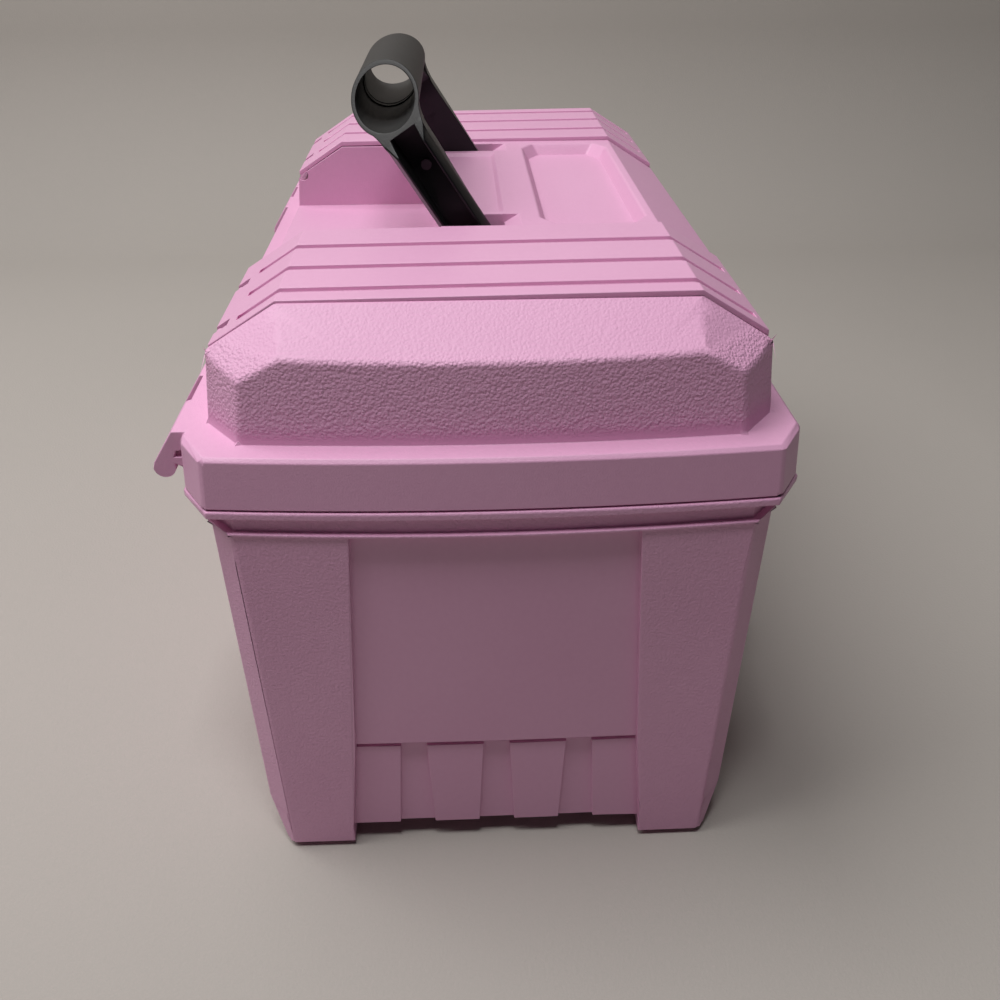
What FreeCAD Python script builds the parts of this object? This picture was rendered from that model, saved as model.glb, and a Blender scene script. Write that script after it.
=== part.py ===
import FreeCAD, Part
import math
import os

import Sketcher

# Craft organizer box: deep tub, hinged lid with two covered bins, folding carry handle,
# lift-out tray. Millimetres. Origin at the middle of the base, +Z up, long side on X,
# hinges on +Y, latches on -Y.

DRIVING = {
    # lid flange
    "lid_length": 408.0,
    "lid_width": 222.0,
    "lid_corner_x": 16.1,
    "lid_corner_y": 9.9,
    "end_crown": 4.7,
    "flange_bottom": 175.2,
    "flange_tall": 19.5,
    "flange_draft": 1.6,
    "flange_edge_round": 1.4,
    "lid_wall": 2.5,
    # raised part of the lid
    "raised_inset_x": 10.3,
    "raised_inset_y": 8.6,
    "raised_corner_x": 18.1,
    "raised_corner_y": 14.0,
    "raised_crown": 3.9,
    "raised_tall": 41.8,
    "raised_draft": 3.7,
    "flat_half_width": 74.6,
    "side_fall": 0.62,
    "end_slope_start": 170.1,
    "end_fall": 0.5,
    "facet_top_x": 168.7,
    "facet_top_y": 73.5,
    "facet_end_y": 71.1,
    "facet_end_drop": 11.3,
    "facet_low_y": 86.0,
    "facet_low_drop": 19.6,
    # centre of the lid top
    "well_side_wall": 2.5,
    "well_front": 18.0,
    "well_deep": 34.5,
    "slot_inner": 61.5,
    "slot_outer": 79.0,
    "slot_front": 9.7,
    "slot_deep": 30.5,
    "ramp_front": 16.4,
    "ramp_deep": 4.0,
    "panel_half_length": 57.5,
    "panel_deep": 2.0,
    "panel_wall_run": 2.0,
    "recess_half_length": 77.5,
    "recess_back": 25.0,
    "recess_front": 71.0,
    "recess_deep": 5.5,
    "recess_wall_run": 3.5,
    "recess_corner_x": 10.0,
    "recess_corner_y": 6.0,
    # bins and their covers
    "cover_inner": 84.9,
    "cover_outer": 168.7,
    "cover_proud": 0.7,
    "cover_thick": 2.6,
    "cover_gap": 0.25,
    "cover_seat_gap": 0.1,
    "cover_reach": 99.7,
    "cover_ajar": 0.5,
    "cover_hinge_y": 98.0,
    "cover_hinge_drop": 17.3,
    "cover_knuckle_radius": 2.2,
    "cover_knuckle_inner": 114.0,
    "cover_knuckle_outer": 152.0,
    "cover_lug_length": 5.6,
    "cover_lug_gap": 0.4,
    "cover_pin_radius": 0.9,
    "hinge_relief": 3.1,
    "groove_width": 5.0,
    "groove_deep": 1.7,
    "groove_back": 90.5,
    "groove_front": 97.0,
    "groove_near": 158.2,
    "groove_middle": 133.7,
    "groove_far": 107.5,
    "bin_floor_drop": 33.5,
    "bin_inner": 89.5,
    "bin_outer": 164.1,
    "bin_half_width": 95.5,
    "bin_corner": 5.0,
    "bin_divider_place": 30.0,
    "bin_divider_top_gap": 3.0,
    "divider_thick": 1.6,
    "divider_slot_deep": 1.2,
    "divider_gap": 0.2,
    "deck_thick": 2.5,
    "roof_thick": 2.5,
    # lid hinge
    "hinge_y": 118.5,
    "hinge_height": 180.5,
    "hinge_radius": 4.0,
    "hinge_pin_radius": 1.5,
    "pin_play": 0.05,
    "knuckle_outer": 182.5,
    "knuckle_length": 24.0,
    "knuckle_gap": 0.5,
    "hinge_rail_proud": 3.2,
    "hinge_rail_tall": 4.0,
    "hinge_arm_proud": 1.4,
    "blind_end": 2.5,
    # base
    "foot_height": 3.0,
    "knee_height": 22.0,
    "skirt_height": 10.0,
    "post_top": 164.4,
    "ledge_thick": 1.0,
    "band_tall": 6.4,
    "rim_thick": 2.7,
    "tongue_tall": 4.6,
    "base_end_top": 204.0,
    "base_end_bottom": 202.1,
    "base_crown_bottom": 0.3,
    "base_side_top": 102.3,
    "base_side_knee": 98.4,
    "base_side_bottom": 91.0,
    "post_outer_top": 93.1,
    "post_outer_knee": 89.1,
    "post_outer_bottom": 88.5,
    "base_corner_x": 10.5,
    "foot_corner_x": 2.5,
    "ledge_proud": 0.7,
    "band_inset": 1.6,
    "rim_side": 111.6,
    "rim_end": 204.8,
    "rim_corner_y": 100.5,
    "rim_corner_x": 17.0,
    "rest_gap": 0.05,
    "rest_place": 60.0,
    "rest_half": 8.0,
    "base_wall": 3.2,
    "end_wall": 8.6,
    "tongue_inset": 4.1,
    "tongue_side_inset": 1.1,
    "floor_thick": 2.5,
    "foot_inner_x": 150.0,
    "foot_inner_y": 62.0,
    "foot_wall": 4.0,
    "foot_pad_inset": 2.6,
    "panel_step": 59.5,
    "panel_top_half": 51.7,
    "panel_step_half": 57.6,
    "panel_low_half": 62.3,
    "end_panel_deep": 2.75,
    "band_step": 1.0,
    "rib_groove_deep": 1.5,
    "rib_groove_top": 57.0,
    "side_groove_in_top": 28.8,
    "side_groove_out_top": 39.4,
    "side_groove_in_low": 26.8,
    "side_groove_out_low": 42.0,
    "mid_groove_top": 5.3,
    "mid_groove_low": 7.6,
    "side_panel_deep": 0.9,
    "side_panel_half": 172.0,
    "side_panel_low": 30.0,
    "side_panel_top": 152.0,
    "side_panel_slant": 3.0,
    # lift-out tray
    "tray_ledge_height": 128.0,
    "tray_ledge_reach": 9.0,
    "tray_ledge_half": 70.0,
    "tray_ledge_thick": 3.0,
    "tray_tall": 42.0,
    "tray_half_length": 188.0,
    "tray_half_width": 88.0,
    "tray_flare": 3.0,
    "tray_corner": 8.0,
    "tray_wall": 2.0,
    "tray_seat_gap": 0.05,
    "tray_rim_tall": 2.0,
    "tray_rim_reach": 2.0,
    "spine_thick": 6.0,
    "grip_slot_half": 48.0,
    "grip_slot_tall": 22.0,
    "grip_bar_tall": 8.0,
    "tray_divider_place": 62.0,
    "tray_divider_top_gap": 4.0,
    # carry handle
    "handle_pivot_y": 0.0,
    "handle_pivot_drop": 16.1,
    "handle_lean": 32.7,
    "grip_up": 74.5,
    "grip_half_up": 13.5,
    "grip_half_across": 15.1,
    "grip_wall": 1.9,
    "grip_step": 0.3,
    "grip_step_half": 3.0,
    "grip_top_half": 41.6,
    "arm_outer": 72.0,
    "arm_bend": 54.5,
    "arm_half_across": 9.3,
    "arm_neck": 10.0,
    "arm_neck_top": 24.0,
    "arm_shoulder_top": 50.0,
    "arm_thick": 18.0,
    "arm_web": 2.5,
    "arm_rim": 3.3,
    "arm_bevel_deep": 5.0,
    "arm_bevel_across": 2.2,
    "neck_radius": 25.0,
    "neck_low": 55.3,
    "neck_high": 67.5,
    "neck_half": 12.5,
    "web_boss_up": 43.8,
    "web_boss_radius": 2.3,
    "web_boss_tall": 1.0,
    "channel_foot": 4.0,
    "pivot_boss_radius": 5.5,
    "handle_pin_radius": 2.0,
    # front latches
    "latch_place": 100.0,
    "latch_half": 16.0,
    "latch_axis_out": 4.4,
    "latch_axis_drop": 12.0,
    "latch_radius": 2.8,
    "latch_plate": 2.6,
    "latch_low": 163.0,
    "latch_bead_low": 167.3,
    "latch_bead_top": 170.6,
    "latch_bead_gap": 0.4,
    "latch_ear": 4.0,
    "latch_ear_gap": 0.4,
    "latch_pin_radius": 1.2,
}

doc = FreeCAD.newDocument("craft_organizer_box")
sheet = doc.addObject("Spreadsheet::Sheet", "Sizes")
for row, (alias, number) in enumerate(DRIVING.items(), start=1):
    sheet.set("A%d" % row, alias)
    sheet.set("B%d" % row, str(number))
    sheet.setAlias("B%d" % row, alias)
doc.recompute()


class Size:
    """A number together with the sheet expression that gives it."""

    def __init__(self, value, text):
        self.value = value
        self.text = text

    def __add__(self, other):
        other = as_size(other)
        return Size(self.value + other.value, "(%s + %s)" % (self.text, other.text))

    def __radd__(self, other):
        return as_size(other) + self

    def __sub__(self, other):
        other = as_size(other)
        return Size(self.value - other.value, "(%s - %s)" % (self.text, other.text))

    def __rsub__(self, other):
        return as_size(other) - self

    def __mul__(self, other):
        other = as_size(other)
        return Size(self.value * other.value, "(%s * %s)" % (self.text, other.text))

    def __rmul__(self, other):
        return as_size(other) * self

    def __truediv__(self, other):
        other = as_size(other)
        return Size(self.value / other.value, "(%s / %s)" % (self.text, other.text))

    def __neg__(self):
        return Size(-self.value, "(-1 * %s)" % self.text)


def as_size(number):
    """A plain number as a Size, and a Size as it is."""
    if isinstance(number, Size):
        return number
    return Size(float(number), "%r" % float(number) if number >= 0 else "(%r)" % float(number))


class Sizes:
    """Gives each cell of the sheet as a Size, by its alias."""

    def __getattr__(self, alias):
        return Size(float(sheet.get(alias)), "Sizes." + alias)


mm = Sizes()
CUT_MARGIN = 6.0


def bind(obj, path, size):
    """Ties one property, or one part of a placement, to its sheet expression."""
    obj.setExpression(path, as_size(size).text)


def new_body(name):
    """An empty body whose label is the node's name."""
    body = doc.addObject("PartDesign::Body", name)
    body.Label = name
    return body


def attach(sketch, body, plane, offset):
    """Lays a sketch on one of its body's origin planes, moved along the plane's normal."""
    origin_plane = next(f for f in body.Origin.OriginFeatures if f.Role == plane)
    offset = as_size(offset)
    sketch.AttachmentSupport = [(origin_plane, "")]
    sketch.MapMode = "FlatFace"
    sketch.AttachmentOffset = FreeCAD.Placement(
        FreeCAD.Vector(0, 0, offset.value), FreeCAD.Rotation()
    )
    bind(sketch, "AttachmentOffset.Base.z", offset)


def pin_point(sketch, geometry, end, point):
    """Fixes one end of a sketch line or the centre of a circle at a bound place."""
    for kind, size in zip(("DistanceX", "DistanceY"), point):
        size = as_size(size)
        index = sketch.addConstraint(
            Sketcher.Constraint(kind, -1, 1, geometry, end, size.value)
        )
        bind(sketch, "Constraints[%d]" % index, size)


def arc_between(start, finish, radius, outward):
    """The short arc between two points, bulging to the right of start-finish if outward."""
    chord = finish - start
    middle = (start + finish) * 0.5
    left = FreeCAD.Vector(-chord.y, chord.x, 0).normalize()
    rise = math.sqrt(max(0.0, radius**2 - (chord.Length / 2) ** 2))
    centre = middle + left * (rise if outward else -rise)
    first, last = (start, finish) if outward else (finish, start)
    angles = [math.atan2(p.y - centre.y, p.x - centre.x) for p in (first, last)]
    if angles[1] < angles[0]:
        angles[1] += 2 * math.pi
    circle = Part.Circle(centre, FreeCAD.Vector(0, 0, 1), radius)
    return Part.ArcOfCircle(circle, angles[0], angles[1])


def draw(body, plane, offset, points, arcs=None, sketch=None):
    """A closed outline through bound points, anticlockwise, with some sides as arcs.

    arcs gives, for the side that leaves a point, its radius and whether it bulges outward.
    A sketch that is handed in gets the outline beside those it has.
    """
    arcs = arcs or {}
    if sketch is None:
        sketch = body.newObject("Sketcher::SketchObject", body.Name + "_sketch")
        attach(sketch, body, plane, offset)
    first = sketch.GeometryCount
    places = [FreeCAD.Vector(as_size(x).value, as_size(y).value, 0) for x, y in points]
    count = len(points)
    ends = []
    for i in range(count):
        start, finish = places[i], places[(i + 1) % count]
        if i in arcs:
            radius, outward = arcs[i][:2]
            sketch.addGeometry(arc_between(start, finish, as_size(radius).value, outward))
            ends.append((1, 2) if outward else (2, 1))
        else:
            sketch.addGeometry(Part.LineSegment(start, finish))
            ends.append((1, 2))
    for i in range(count):
        follower = (i + 1) % count
        sketch.addConstraint(Sketcher.Constraint(
            "Coincident", first + i, ends[i][1], first + follower, ends[follower][0]))
        pin_point(sketch, first + i, ends[i][0], points[i])
    for i, arc in arcs.items():
        if len(arc) == 4:
            # a half circle: its centre lies between its ends
            level = as_size(arc[3])
            rule = Sketcher.Constraint(arc[2], -1, 1, first + i, 3, level.value)
            bind(sketch, "Constraints[%d]" % sketch.addConstraint(rule), level)
        else:
            radius = as_size(arc[0])
            rule = Sketcher.Constraint("Radius", first + i, radius.value)
            bind(sketch, "Constraints[%d]" % sketch.addConstraint(rule), radius)
    return sketch


def draw_all(body, plane, offset, outlines):
    """Several separate outlines in one sketch."""
    sketch = None
    for points in outlines:
        sketch = draw(body, plane, offset, points, sketch=sketch)
    return sketch


def mirrored(points):
    """The same outline on the other side of the second axis, still anticlockwise."""
    return [(-x, y) for x, y in reversed(points)]


def both_sides(points):
    """An outline and its mirror image."""
    return [points, mirrored(points)]


def draw_oval(body, plane, offset, centre, radius_x, radius_y=None):
    """An ellipse, or a circle if it has only one radius."""
    sketch = body.newObject("Sketcher::SketchObject", body.Name + "_sketch")
    attach(sketch, body, plane, offset)
    place = FreeCAD.Vector(as_size(centre[0]).value, as_size(centre[1]).value, 0)
    radius = as_size(radius_x)
    if radius_y is None:
        sketch.addGeometry(Part.Circle(place, FreeCAD.Vector(0, 0, 1), radius.value))
        pin_point(sketch, 0, 3, centre)
        index = sketch.addConstraint(Sketcher.Constraint("Radius", 0, radius.value))
        bind(sketch, "Constraints[%d]" % index, radius)
        return sketch
    other = as_size(radius_y)
    tip = place + FreeCAD.Vector(radius.value, 0, 0)
    side = place + FreeCAD.Vector(0, other.value, 0)
    sketch.addGeometry(Part.Ellipse(tip, side, place))
    pin_point(sketch, 0, 3, centre)
    sketch.exposeInternalGeometry(0)
    for line, size in ((1, radius), (2, other)):
        index = sketch.addConstraint(
            Sketcher.Constraint("Distance", line, 1, line, 2, 2 * size.value)
        )
        bind(sketch, "Constraints[%d]" % index, 2 * size)
    sketch.addConstraint(Sketcher.Constraint("Horizontal", 1))
    return sketch


def settle(feature, sketches, before, cut):
    """Computes one feature and makes sure that a cut takes material away."""
    feature.Refine = False
    for sketch in sketches:
        sketch.recompute()
    feature.recompute()
    if cut and not feature.Shape.Volume < before - 1e-6:
        raise RuntimeError("%s removes nothing" % feature.Name)
    return feature


def extrude(body, sketch, length, cut=False):
    """Pads a sketch along its plane's normal, or pockets it the same way."""
    kind = "PartDesign::Pocket" if cut else "PartDesign::Pad"
    before = body.Tip.Shape.Volume if cut else 0.0
    feature = body.newObject(kind, body.Name + ("_pocket" if cut else "_pad"))
    feature.Profile = sketch
    length = as_size(length)
    feature.Length = length.value
    bind(feature, "Length", length)
    if cut:
        feature.Reversed = True
    return settle(feature, [sketch], before, cut)


def prism(body, plane, start, length, points, cut=False, arcs=None):
    """A straight-sided block, or a pocket, from start along the plane's normal."""
    return extrude(body, draw(body, plane, start, points, arcs), length, cut)


def prisms(body, plane, start, length, outlines, cut=False):
    """Several blocks or pockets of one length, made in one step."""
    return extrude(body, draw_all(body, plane, start, outlines), length, cut)


def rod(body, plane, start, length, centre, radius, cut=False):
    """A round boss or bore from start along the plane's normal."""
    return extrude(body, draw_oval(body, plane, start, centre, radius), length, cut)


def blend(body, sketches, cut=False):
    """A straight loft through sketches, added or cut."""
    kind = "PartDesign::SubtractiveLoft" if cut else "PartDesign::AdditiveLoft"
    before = body.Tip.Shape.Volume if cut else 0.0
    loft = body.newObject(kind, body.Name + "_loft")
    loft.Profile = sketches[0]
    loft.Sections = sketches[1:]
    loft.Ruled = True
    return settle(loft, sketches, before, cut)


def crown_radius(half_chord, crown):
    """The radius of an arc that rises by crown over its chord."""
    return (half_chord * half_chord + crown * crown) / (2 * crown)


def crowned(body, height, end, side, corner_y, corner_x, crown):
    """An eight-cornered outline with bowed ends, level at one height."""
    shoulder = end - corner_x
    points = [
        (end, -corner_y), (end, corner_y), (shoulder, side), (-shoulder, side),
        (-end, corner_y), (-end, -corner_y), (-shoulder, -side), (shoulder, -side),
    ]
    radius = crown_radius(corner_y, crown)
    return draw(body, "XY_Plane", height, points, {0: (radius, True), 4: (radius, True)})


def rectangle(x_low, x_high, y_low, y_high):
    """The corners of a rectangle, anticlockwise."""
    return [(x_low, y_low), (x_high, y_low), (x_high, y_high), (x_low, y_high)]


def cut_corners(x_low, x_high, y_low, y_high, cut_x, cut_y):
    """The corners of a rectangle with its four corners cut off."""
    return [
        (x_low + cut_x, y_low), (x_high - cut_x, y_low), (x_high, y_low + cut_y),
        (x_high, y_high - cut_y), (x_high - cut_x, y_high), (x_low + cut_x, y_high),
        (x_low, y_high - cut_y), (x_low, y_low + cut_y),
    ]


def span(side, low, high):
    """The two X limits of a piece on the left or right, in rising order."""
    return (low, high) if side > 0 else (-high, -low)


# Heights and lines that several pieces share.
rim_bottom = mm.post_top + mm.ledge_thick + mm.band_tall
rim_top = rim_bottom + mm.rim_thick
tongue_top = rim_top + mm.tongue_tall
flange_top = mm.flange_bottom + mm.flange_tall
lid_top = flange_top + mm.raised_tall
lid_half_length = mm.lid_length / 2
lid_half_width = mm.lid_width / 2
cover_top = lid_top + mm.cover_proud
deck_bottom = lid_top - mm.well_deep - mm.deck_thick
bin_floor = lid_top - mm.bin_floor_drop
well_floor = lid_top - mm.well_deep
cover_hinge_z = cover_top - mm.cover_hinge_drop - mm.cover_proud
SIDES = (("left", -1), ("right", 1))


def roof_points(drop, reach, front=None):
    """The lid's roof line across Y, lowered by drop, closed far above: a cutting outline."""
    front = reach if front is None else front
    level = lid_top - drop
    above = lid_top + CUT_MARGIN
    low_back = level - mm.side_fall * (reach - mm.flat_half_width)
    low_front = level - mm.side_fall * (front - mm.flat_half_width)
    return [
        (-front, low_front), (-mm.flat_half_width, level), (mm.flat_half_width, level),
        (reach, low_back), (reach, above), (-front, above),
    ]


def slope_height(y, drop):
    """The height of the lid's side slope at a distance from the middle, lowered by drop."""
    return lid_top - drop - mm.side_fall * (y - mm.flat_half_width)


def make_base():
    """The deep lower tub with its rim, end panels, feet, tray ledges and hinge knuckles."""
    body = new_body("base_tub")

    def lower(height, end, side, corner_y, corner_x, crown):
        return crowned(body, height, end, side, corner_y, corner_x, crown)

    end_knee = mm.base_end_bottom + (mm.base_end_top - mm.base_end_bottom) * (
        (mm.knee_height - mm.foot_height) / (mm.post_top - mm.foot_height)
    )
    crown_knee = mm.base_crown_bottom + (mm.end_crown - mm.base_crown_bottom) * (
        (mm.knee_height - mm.foot_height) / (mm.post_top - mm.foot_height)
    )
    bottom = (mm.base_end_bottom, mm.base_side_bottom, mm.post_outer_bottom, mm.foot_corner_x)
    knee = (end_knee, mm.base_side_knee, mm.post_outer_knee, mm.base_corner_x)
    top = (mm.base_end_top, mm.base_side_top, mm.post_outer_top, mm.base_corner_x)
    blend(body, [lower(mm.foot_height, *bottom, mm.base_crown_bottom),
                 lower(mm.knee_height, *knee, crown_knee)])
    blend(body, [lower(mm.knee_height, *knee, crown_knee),
                 lower(mm.post_top, *top, mm.end_crown)])
    ledge = crowned(body, mm.post_top, mm.base_end_top + mm.ledge_proud,
                    mm.base_side_top + mm.ledge_proud, mm.post_outer_top + mm.ledge_proud,
                    mm.base_corner_x, mm.end_crown)
    extrude(body, ledge, mm.ledge_thick)
    band = crowned(body, mm.post_top + mm.ledge_thick, mm.base_end_top - mm.band_inset,
                   mm.base_side_top - mm.ledge_proud, mm.post_outer_top - mm.ledge_proud,
                   mm.base_corner_x, mm.end_crown)
    extrude(body, band, mm.band_tall)
    rim = crowned(body, rim_bottom, mm.rim_end, mm.rim_side, mm.rim_corner_y,
                  mm.rim_corner_x, mm.end_crown)
    extrude(body, rim, mm.rim_thick)
    tongue = crowned(body, rim_top, mm.base_end_top - mm.tongue_inset,
                     mm.base_side_top - mm.tongue_side_inset,
                     mm.post_outer_top - mm.tongue_side_inset, mm.base_corner_x, mm.end_crown)
    extrude(body, tongue, mm.tongue_tall)

    # feet: the four corners reach lower than the tub's floor
    skirt = mm.skirt_height - mm.foot_height + CUT_MARGIN
    below = mm.foot_height - CUT_MARGIN
    reach_x = mm.base_end_top + CUT_MARGIN
    reach_y = mm.base_side_top + CUT_MARGIN
    inner_x, inner_y = mm.foot_inner_x, mm.foot_inner_y
    prism(body, "XY_Plane", below, skirt, [
        (-inner_x, -reach_y), (inner_x, -reach_y), (inner_x, -inner_y), (reach_x, -inner_y),
        (reach_x, inner_y), (inner_x, inner_y), (inner_x, reach_y), (-inner_x, reach_y),
        (-inner_x, inner_y), (-reach_x, inner_y), (-reach_x, -inner_y), (-inner_x, -inner_y),
    ], cut=True)
    x_low, x_high = inner_x + mm.foot_pad_inset, mm.base_end_bottom - mm.foot_pad_inset
    y_low, y_high = inner_y + mm.foot_pad_inset, mm.post_outer_bottom - mm.foot_pad_inset

    def at_feet(inset):
        """One rectangle in each foot, smaller than its pad by inset."""
        outlines = []
        for low, high in ((y_low + inset, y_high - inset), (inset - y_high, -y_low - inset)):
            outlines += both_sides(rectangle(x_low + inset, x_high - inset, low, high))
        return outlines
    prisms(body, "XY_Plane", 0, mm.foot_height + mm.foot_pad_inset, at_feet(as_size(0)))
    prisms(body, "XY_Plane", -CUT_MARGIN, mm.skirt_height + CUT_MARGIN - mm.foot_wall / 4,
           at_feet(mm.foot_wall), cut=True)

    # inside of the tub
    floor = mm.skirt_height + mm.floor_thick
    share = (floor - mm.foot_height) / (mm.knee_height - mm.foot_height)
    side_floor = mm.base_side_bottom + (mm.base_side_knee - mm.base_side_bottom) * share
    blend(body, [
        crowned(body, floor, mm.base_end_bottom - mm.end_wall, side_floor - mm.base_wall,
                mm.post_outer_bottom - mm.base_wall, mm.foot_corner_x * 2, crown_knee),
        crowned(body, mm.knee_height, mm.base_end_bottom - mm.end_wall,
                mm.base_side_knee - mm.base_wall, mm.post_outer_knee - mm.base_wall,
                mm.base_corner_x, crown_knee),
    ], cut=True)
    blend(body, [
        crowned(body, mm.knee_height, mm.base_end_bottom - mm.end_wall,
                mm.base_side_knee - mm.base_wall, mm.post_outer_knee - mm.base_wall,
                mm.base_corner_x, crown_knee),
        crowned(body, tongue_top, mm.base_end_top - mm.tongue_inset - mm.lid_wall,
                mm.base_side_top - mm.base_wall, mm.post_outer_top - mm.base_wall,
                mm.base_corner_x, mm.end_crown),
    ], cut=True)
    make_end_panels(body)
    make_side_panels(body)

    # ledges that carry the tray
    ledge_tip = mm.base_end_bottom - mm.end_wall - mm.tray_ledge_reach
    root = mm.base_end_bottom - mm.base_wall / 3
    under = mm.tray_ledge_height - mm.tray_ledge_thick
    ledge = [
        (ledge_tip, mm.tray_ledge_height), (ledge_tip, under),
        (root, under - root + ledge_tip), (root, mm.tray_ledge_height),
    ]
    prisms(body, "XZ_Plane", -mm.tray_ledge_half, 2 * mm.tray_ledge_half, both_sides(ledge))

    # hinge knuckles between the lid's own
    knuckle_out = mm.hinge_y + mm.hinge_radius
    knuckle_in = mm.hinge_y - mm.hinge_radius
    wall_y = mm.base_side_top - mm.lid_wall
    shoulder = rim_top - mm.lid_wall / 8
    knuckle = [
        (knuckle_out, mm.hinge_height), (knuckle_in, mm.hinge_height),
        (knuckle_in, rim_top + mm.lid_wall / 2), (mm.rim_side, shoulder), (wall_y, shoulder),
        (wall_y, mm.post_top - mm.rim_thick), (mm.base_side_top, mm.post_top - mm.rim_thick),
        (knuckle_in, rim_bottom - mm.rim_thick),
        (knuckle_out, mm.hinge_height - mm.hinge_radius),
    ]
    inner_end = mm.knuckle_outer - 2 * mm.knuckle_length
    for _, side in SIDES:
        low, high = span(side, inner_end, inner_end + mm.knuckle_length - mm.knuckle_gap)
        prism(body, "YZ_Plane", low, high - low, knuckle,
              arcs={0: (mm.hinge_radius, True, "DistanceY", mm.hinge_height)})
    rod(body, "YZ_Plane", -mm.knuckle_outer, 2 * mm.knuckle_outer,
        (mm.hinge_y, mm.hinge_height), mm.hinge_pin_radius + mm.pin_play, cut=True)
    return body


def end_face(height):
    """How far the base's end plane and its crown stand out at a height."""
    share = (height - mm.foot_height) / (mm.post_top - mm.foot_height)
    plane = mm.base_end_bottom + (mm.base_end_top - mm.base_end_bottom) * share
    crown = mm.base_crown_bottom + (mm.end_crown - mm.base_crown_bottom) * share
    return plane, crown


def bowed_cut(body, side, height, deep, half):
    """A level outline that cuts deep into a bowed end over a half-width.

    Its inner side follows the bow of the end wall.
    """
    plane, crown = end_face(height)
    sink = crown * (half * half) / (mm.post_outer_top * mm.post_outer_top)
    face = plane + crown - sink - deep
    outer = mm.rim_end + mm.end_crown
    points = [(face, -half), (outer, -half), (outer, half), (face, half)]
    if side < 0:
        points = [(-x, -y) for x, y in points]
    return draw(body, "XY_Plane", height, points, {3: (crown_radius(half, sink), False)})


def make_end_panels(body):
    """The recessed panels of both ends, with the stepped and grooved band below them."""
    low = mm.skirt_height - mm.foot_wall / 4
    band_deep = mm.end_panel_deep + mm.band_step
    groove_deep = band_deep + mm.rib_groove_deep
    for _, side in SIDES:
        blend(body, [
            bowed_cut(body, side, mm.panel_step, mm.end_panel_deep, mm.panel_step_half),
            bowed_cut(body, side, mm.post_top, mm.end_panel_deep, mm.panel_top_half),
        ], cut=True)
        blend(body, [
            bowed_cut(body, side, low, band_deep, mm.panel_low_half),
            bowed_cut(body, side, mm.panel_step, band_deep, mm.panel_step_half),
        ], cut=True)
        # a strip above the ribs, and the three grooves between them
        blend(body, [
            bowed_cut(body, side, mm.rib_groove_top, groove_deep, mm.panel_step_half),
            bowed_cut(body, side, mm.panel_step, groove_deep, mm.panel_step_half),
        ], cut=True)
        for turn in (-1, 0, 1):
            if turn:
                edges = ((low, mm.side_groove_in_low, mm.side_groove_out_low),
                         (mm.rib_groove_top, mm.side_groove_in_top, mm.side_groove_out_top))
            else:
                edges = ((low, -mm.mid_groove_low, mm.mid_groove_low),
                         (mm.rib_groove_top, -mm.mid_groove_top, mm.mid_groove_top))
            sketches = []
            for height, near, far in edges:
                if turn < 0:
                    near, far = -far, -near
                sketches.append(groove_cut(body, side, height, groove_deep, near, far))
            blend(body, sketches, cut=True)


def groove_cut(body, side, height, deep, near, far):
    """A level outline that cuts deep into a bowed end between two Y places."""
    plane, crown = end_face(height)
    chord = mm.post_outer_top * mm.post_outer_top
    faces = [plane + crown - crown * (y * y) / chord - deep for y in (near, far)]
    outer = mm.rim_end + mm.end_crown
    points = [(faces[0], near), (outer, near), (outer, far), (faces[1], far)]
    if side < 0:
        points = [(-x, -y) for x, y in points]
    return draw(body, "XY_Plane", height, points)


def make_side_panels(body):
    """A shallow recessed panel on the front and back of the tub."""
    height = mm.post_top - mm.knee_height
    for side in (-1, 1):
        sketches = []
        for z in (mm.side_panel_low, mm.side_panel_top):
            wall = mm.base_side_knee + (mm.base_side_top - mm.base_side_knee) * (
                (z - mm.knee_height) / height
            )
            half = mm.side_panel_half + mm.side_panel_slant * (
                (z - mm.side_panel_low) / (mm.side_panel_top - mm.side_panel_low)
            )
            inner, outer = wall - mm.side_panel_deep, wall + CUT_MARGIN
            y_low, y_high = (inner, outer) if side > 0 else (-outer, -inner)
            sketches.append(draw(body, "XY_Plane", z, rectangle(-half, half, y_low, y_high)))
        blend(body, sketches, cut=True)


def make_lid():
    """The lid: flange, raised top, covered bins, handle well, recesses and hinge parts."""
    body = new_body("lid_shell")
    bevel = mm.flange_edge_round
    levels = (
        (mm.flange_bottom, as_size(0)),
        (flange_top - bevel, mm.flange_draft - bevel / 2),
        (flange_top, mm.flange_draft + bevel / 2),
    )
    for lower, upper in zip(levels, levels[1:]):
        blend(body, [
            crowned(body, height, lid_half_length - inset, lid_half_width - inset,
                    lid_half_width - mm.lid_corner_y - inset, mm.lid_corner_x, mm.end_crown)
            for height, inset in (lower, upper)
        ])
    end = lid_half_length - mm.raised_inset_x
    side = lid_half_width - mm.raised_inset_y
    blend(body, [
        crowned(body, flange_top, end, side, side - mm.raised_corner_y,
                mm.raised_corner_x, mm.raised_crown),
        crowned(body, lid_top, end - mm.raised_draft, side - mm.raised_draft,
                side - mm.raised_corner_y - mm.raised_draft, mm.raised_corner_x,
                mm.raised_crown),
    ])
    make_slopes(body)
    hollow_lid(body, end, side)
    make_bins(body)
    make_centre(body)
    make_lid_hinges(body)
    make_latch_ears(body)
    return body


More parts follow.
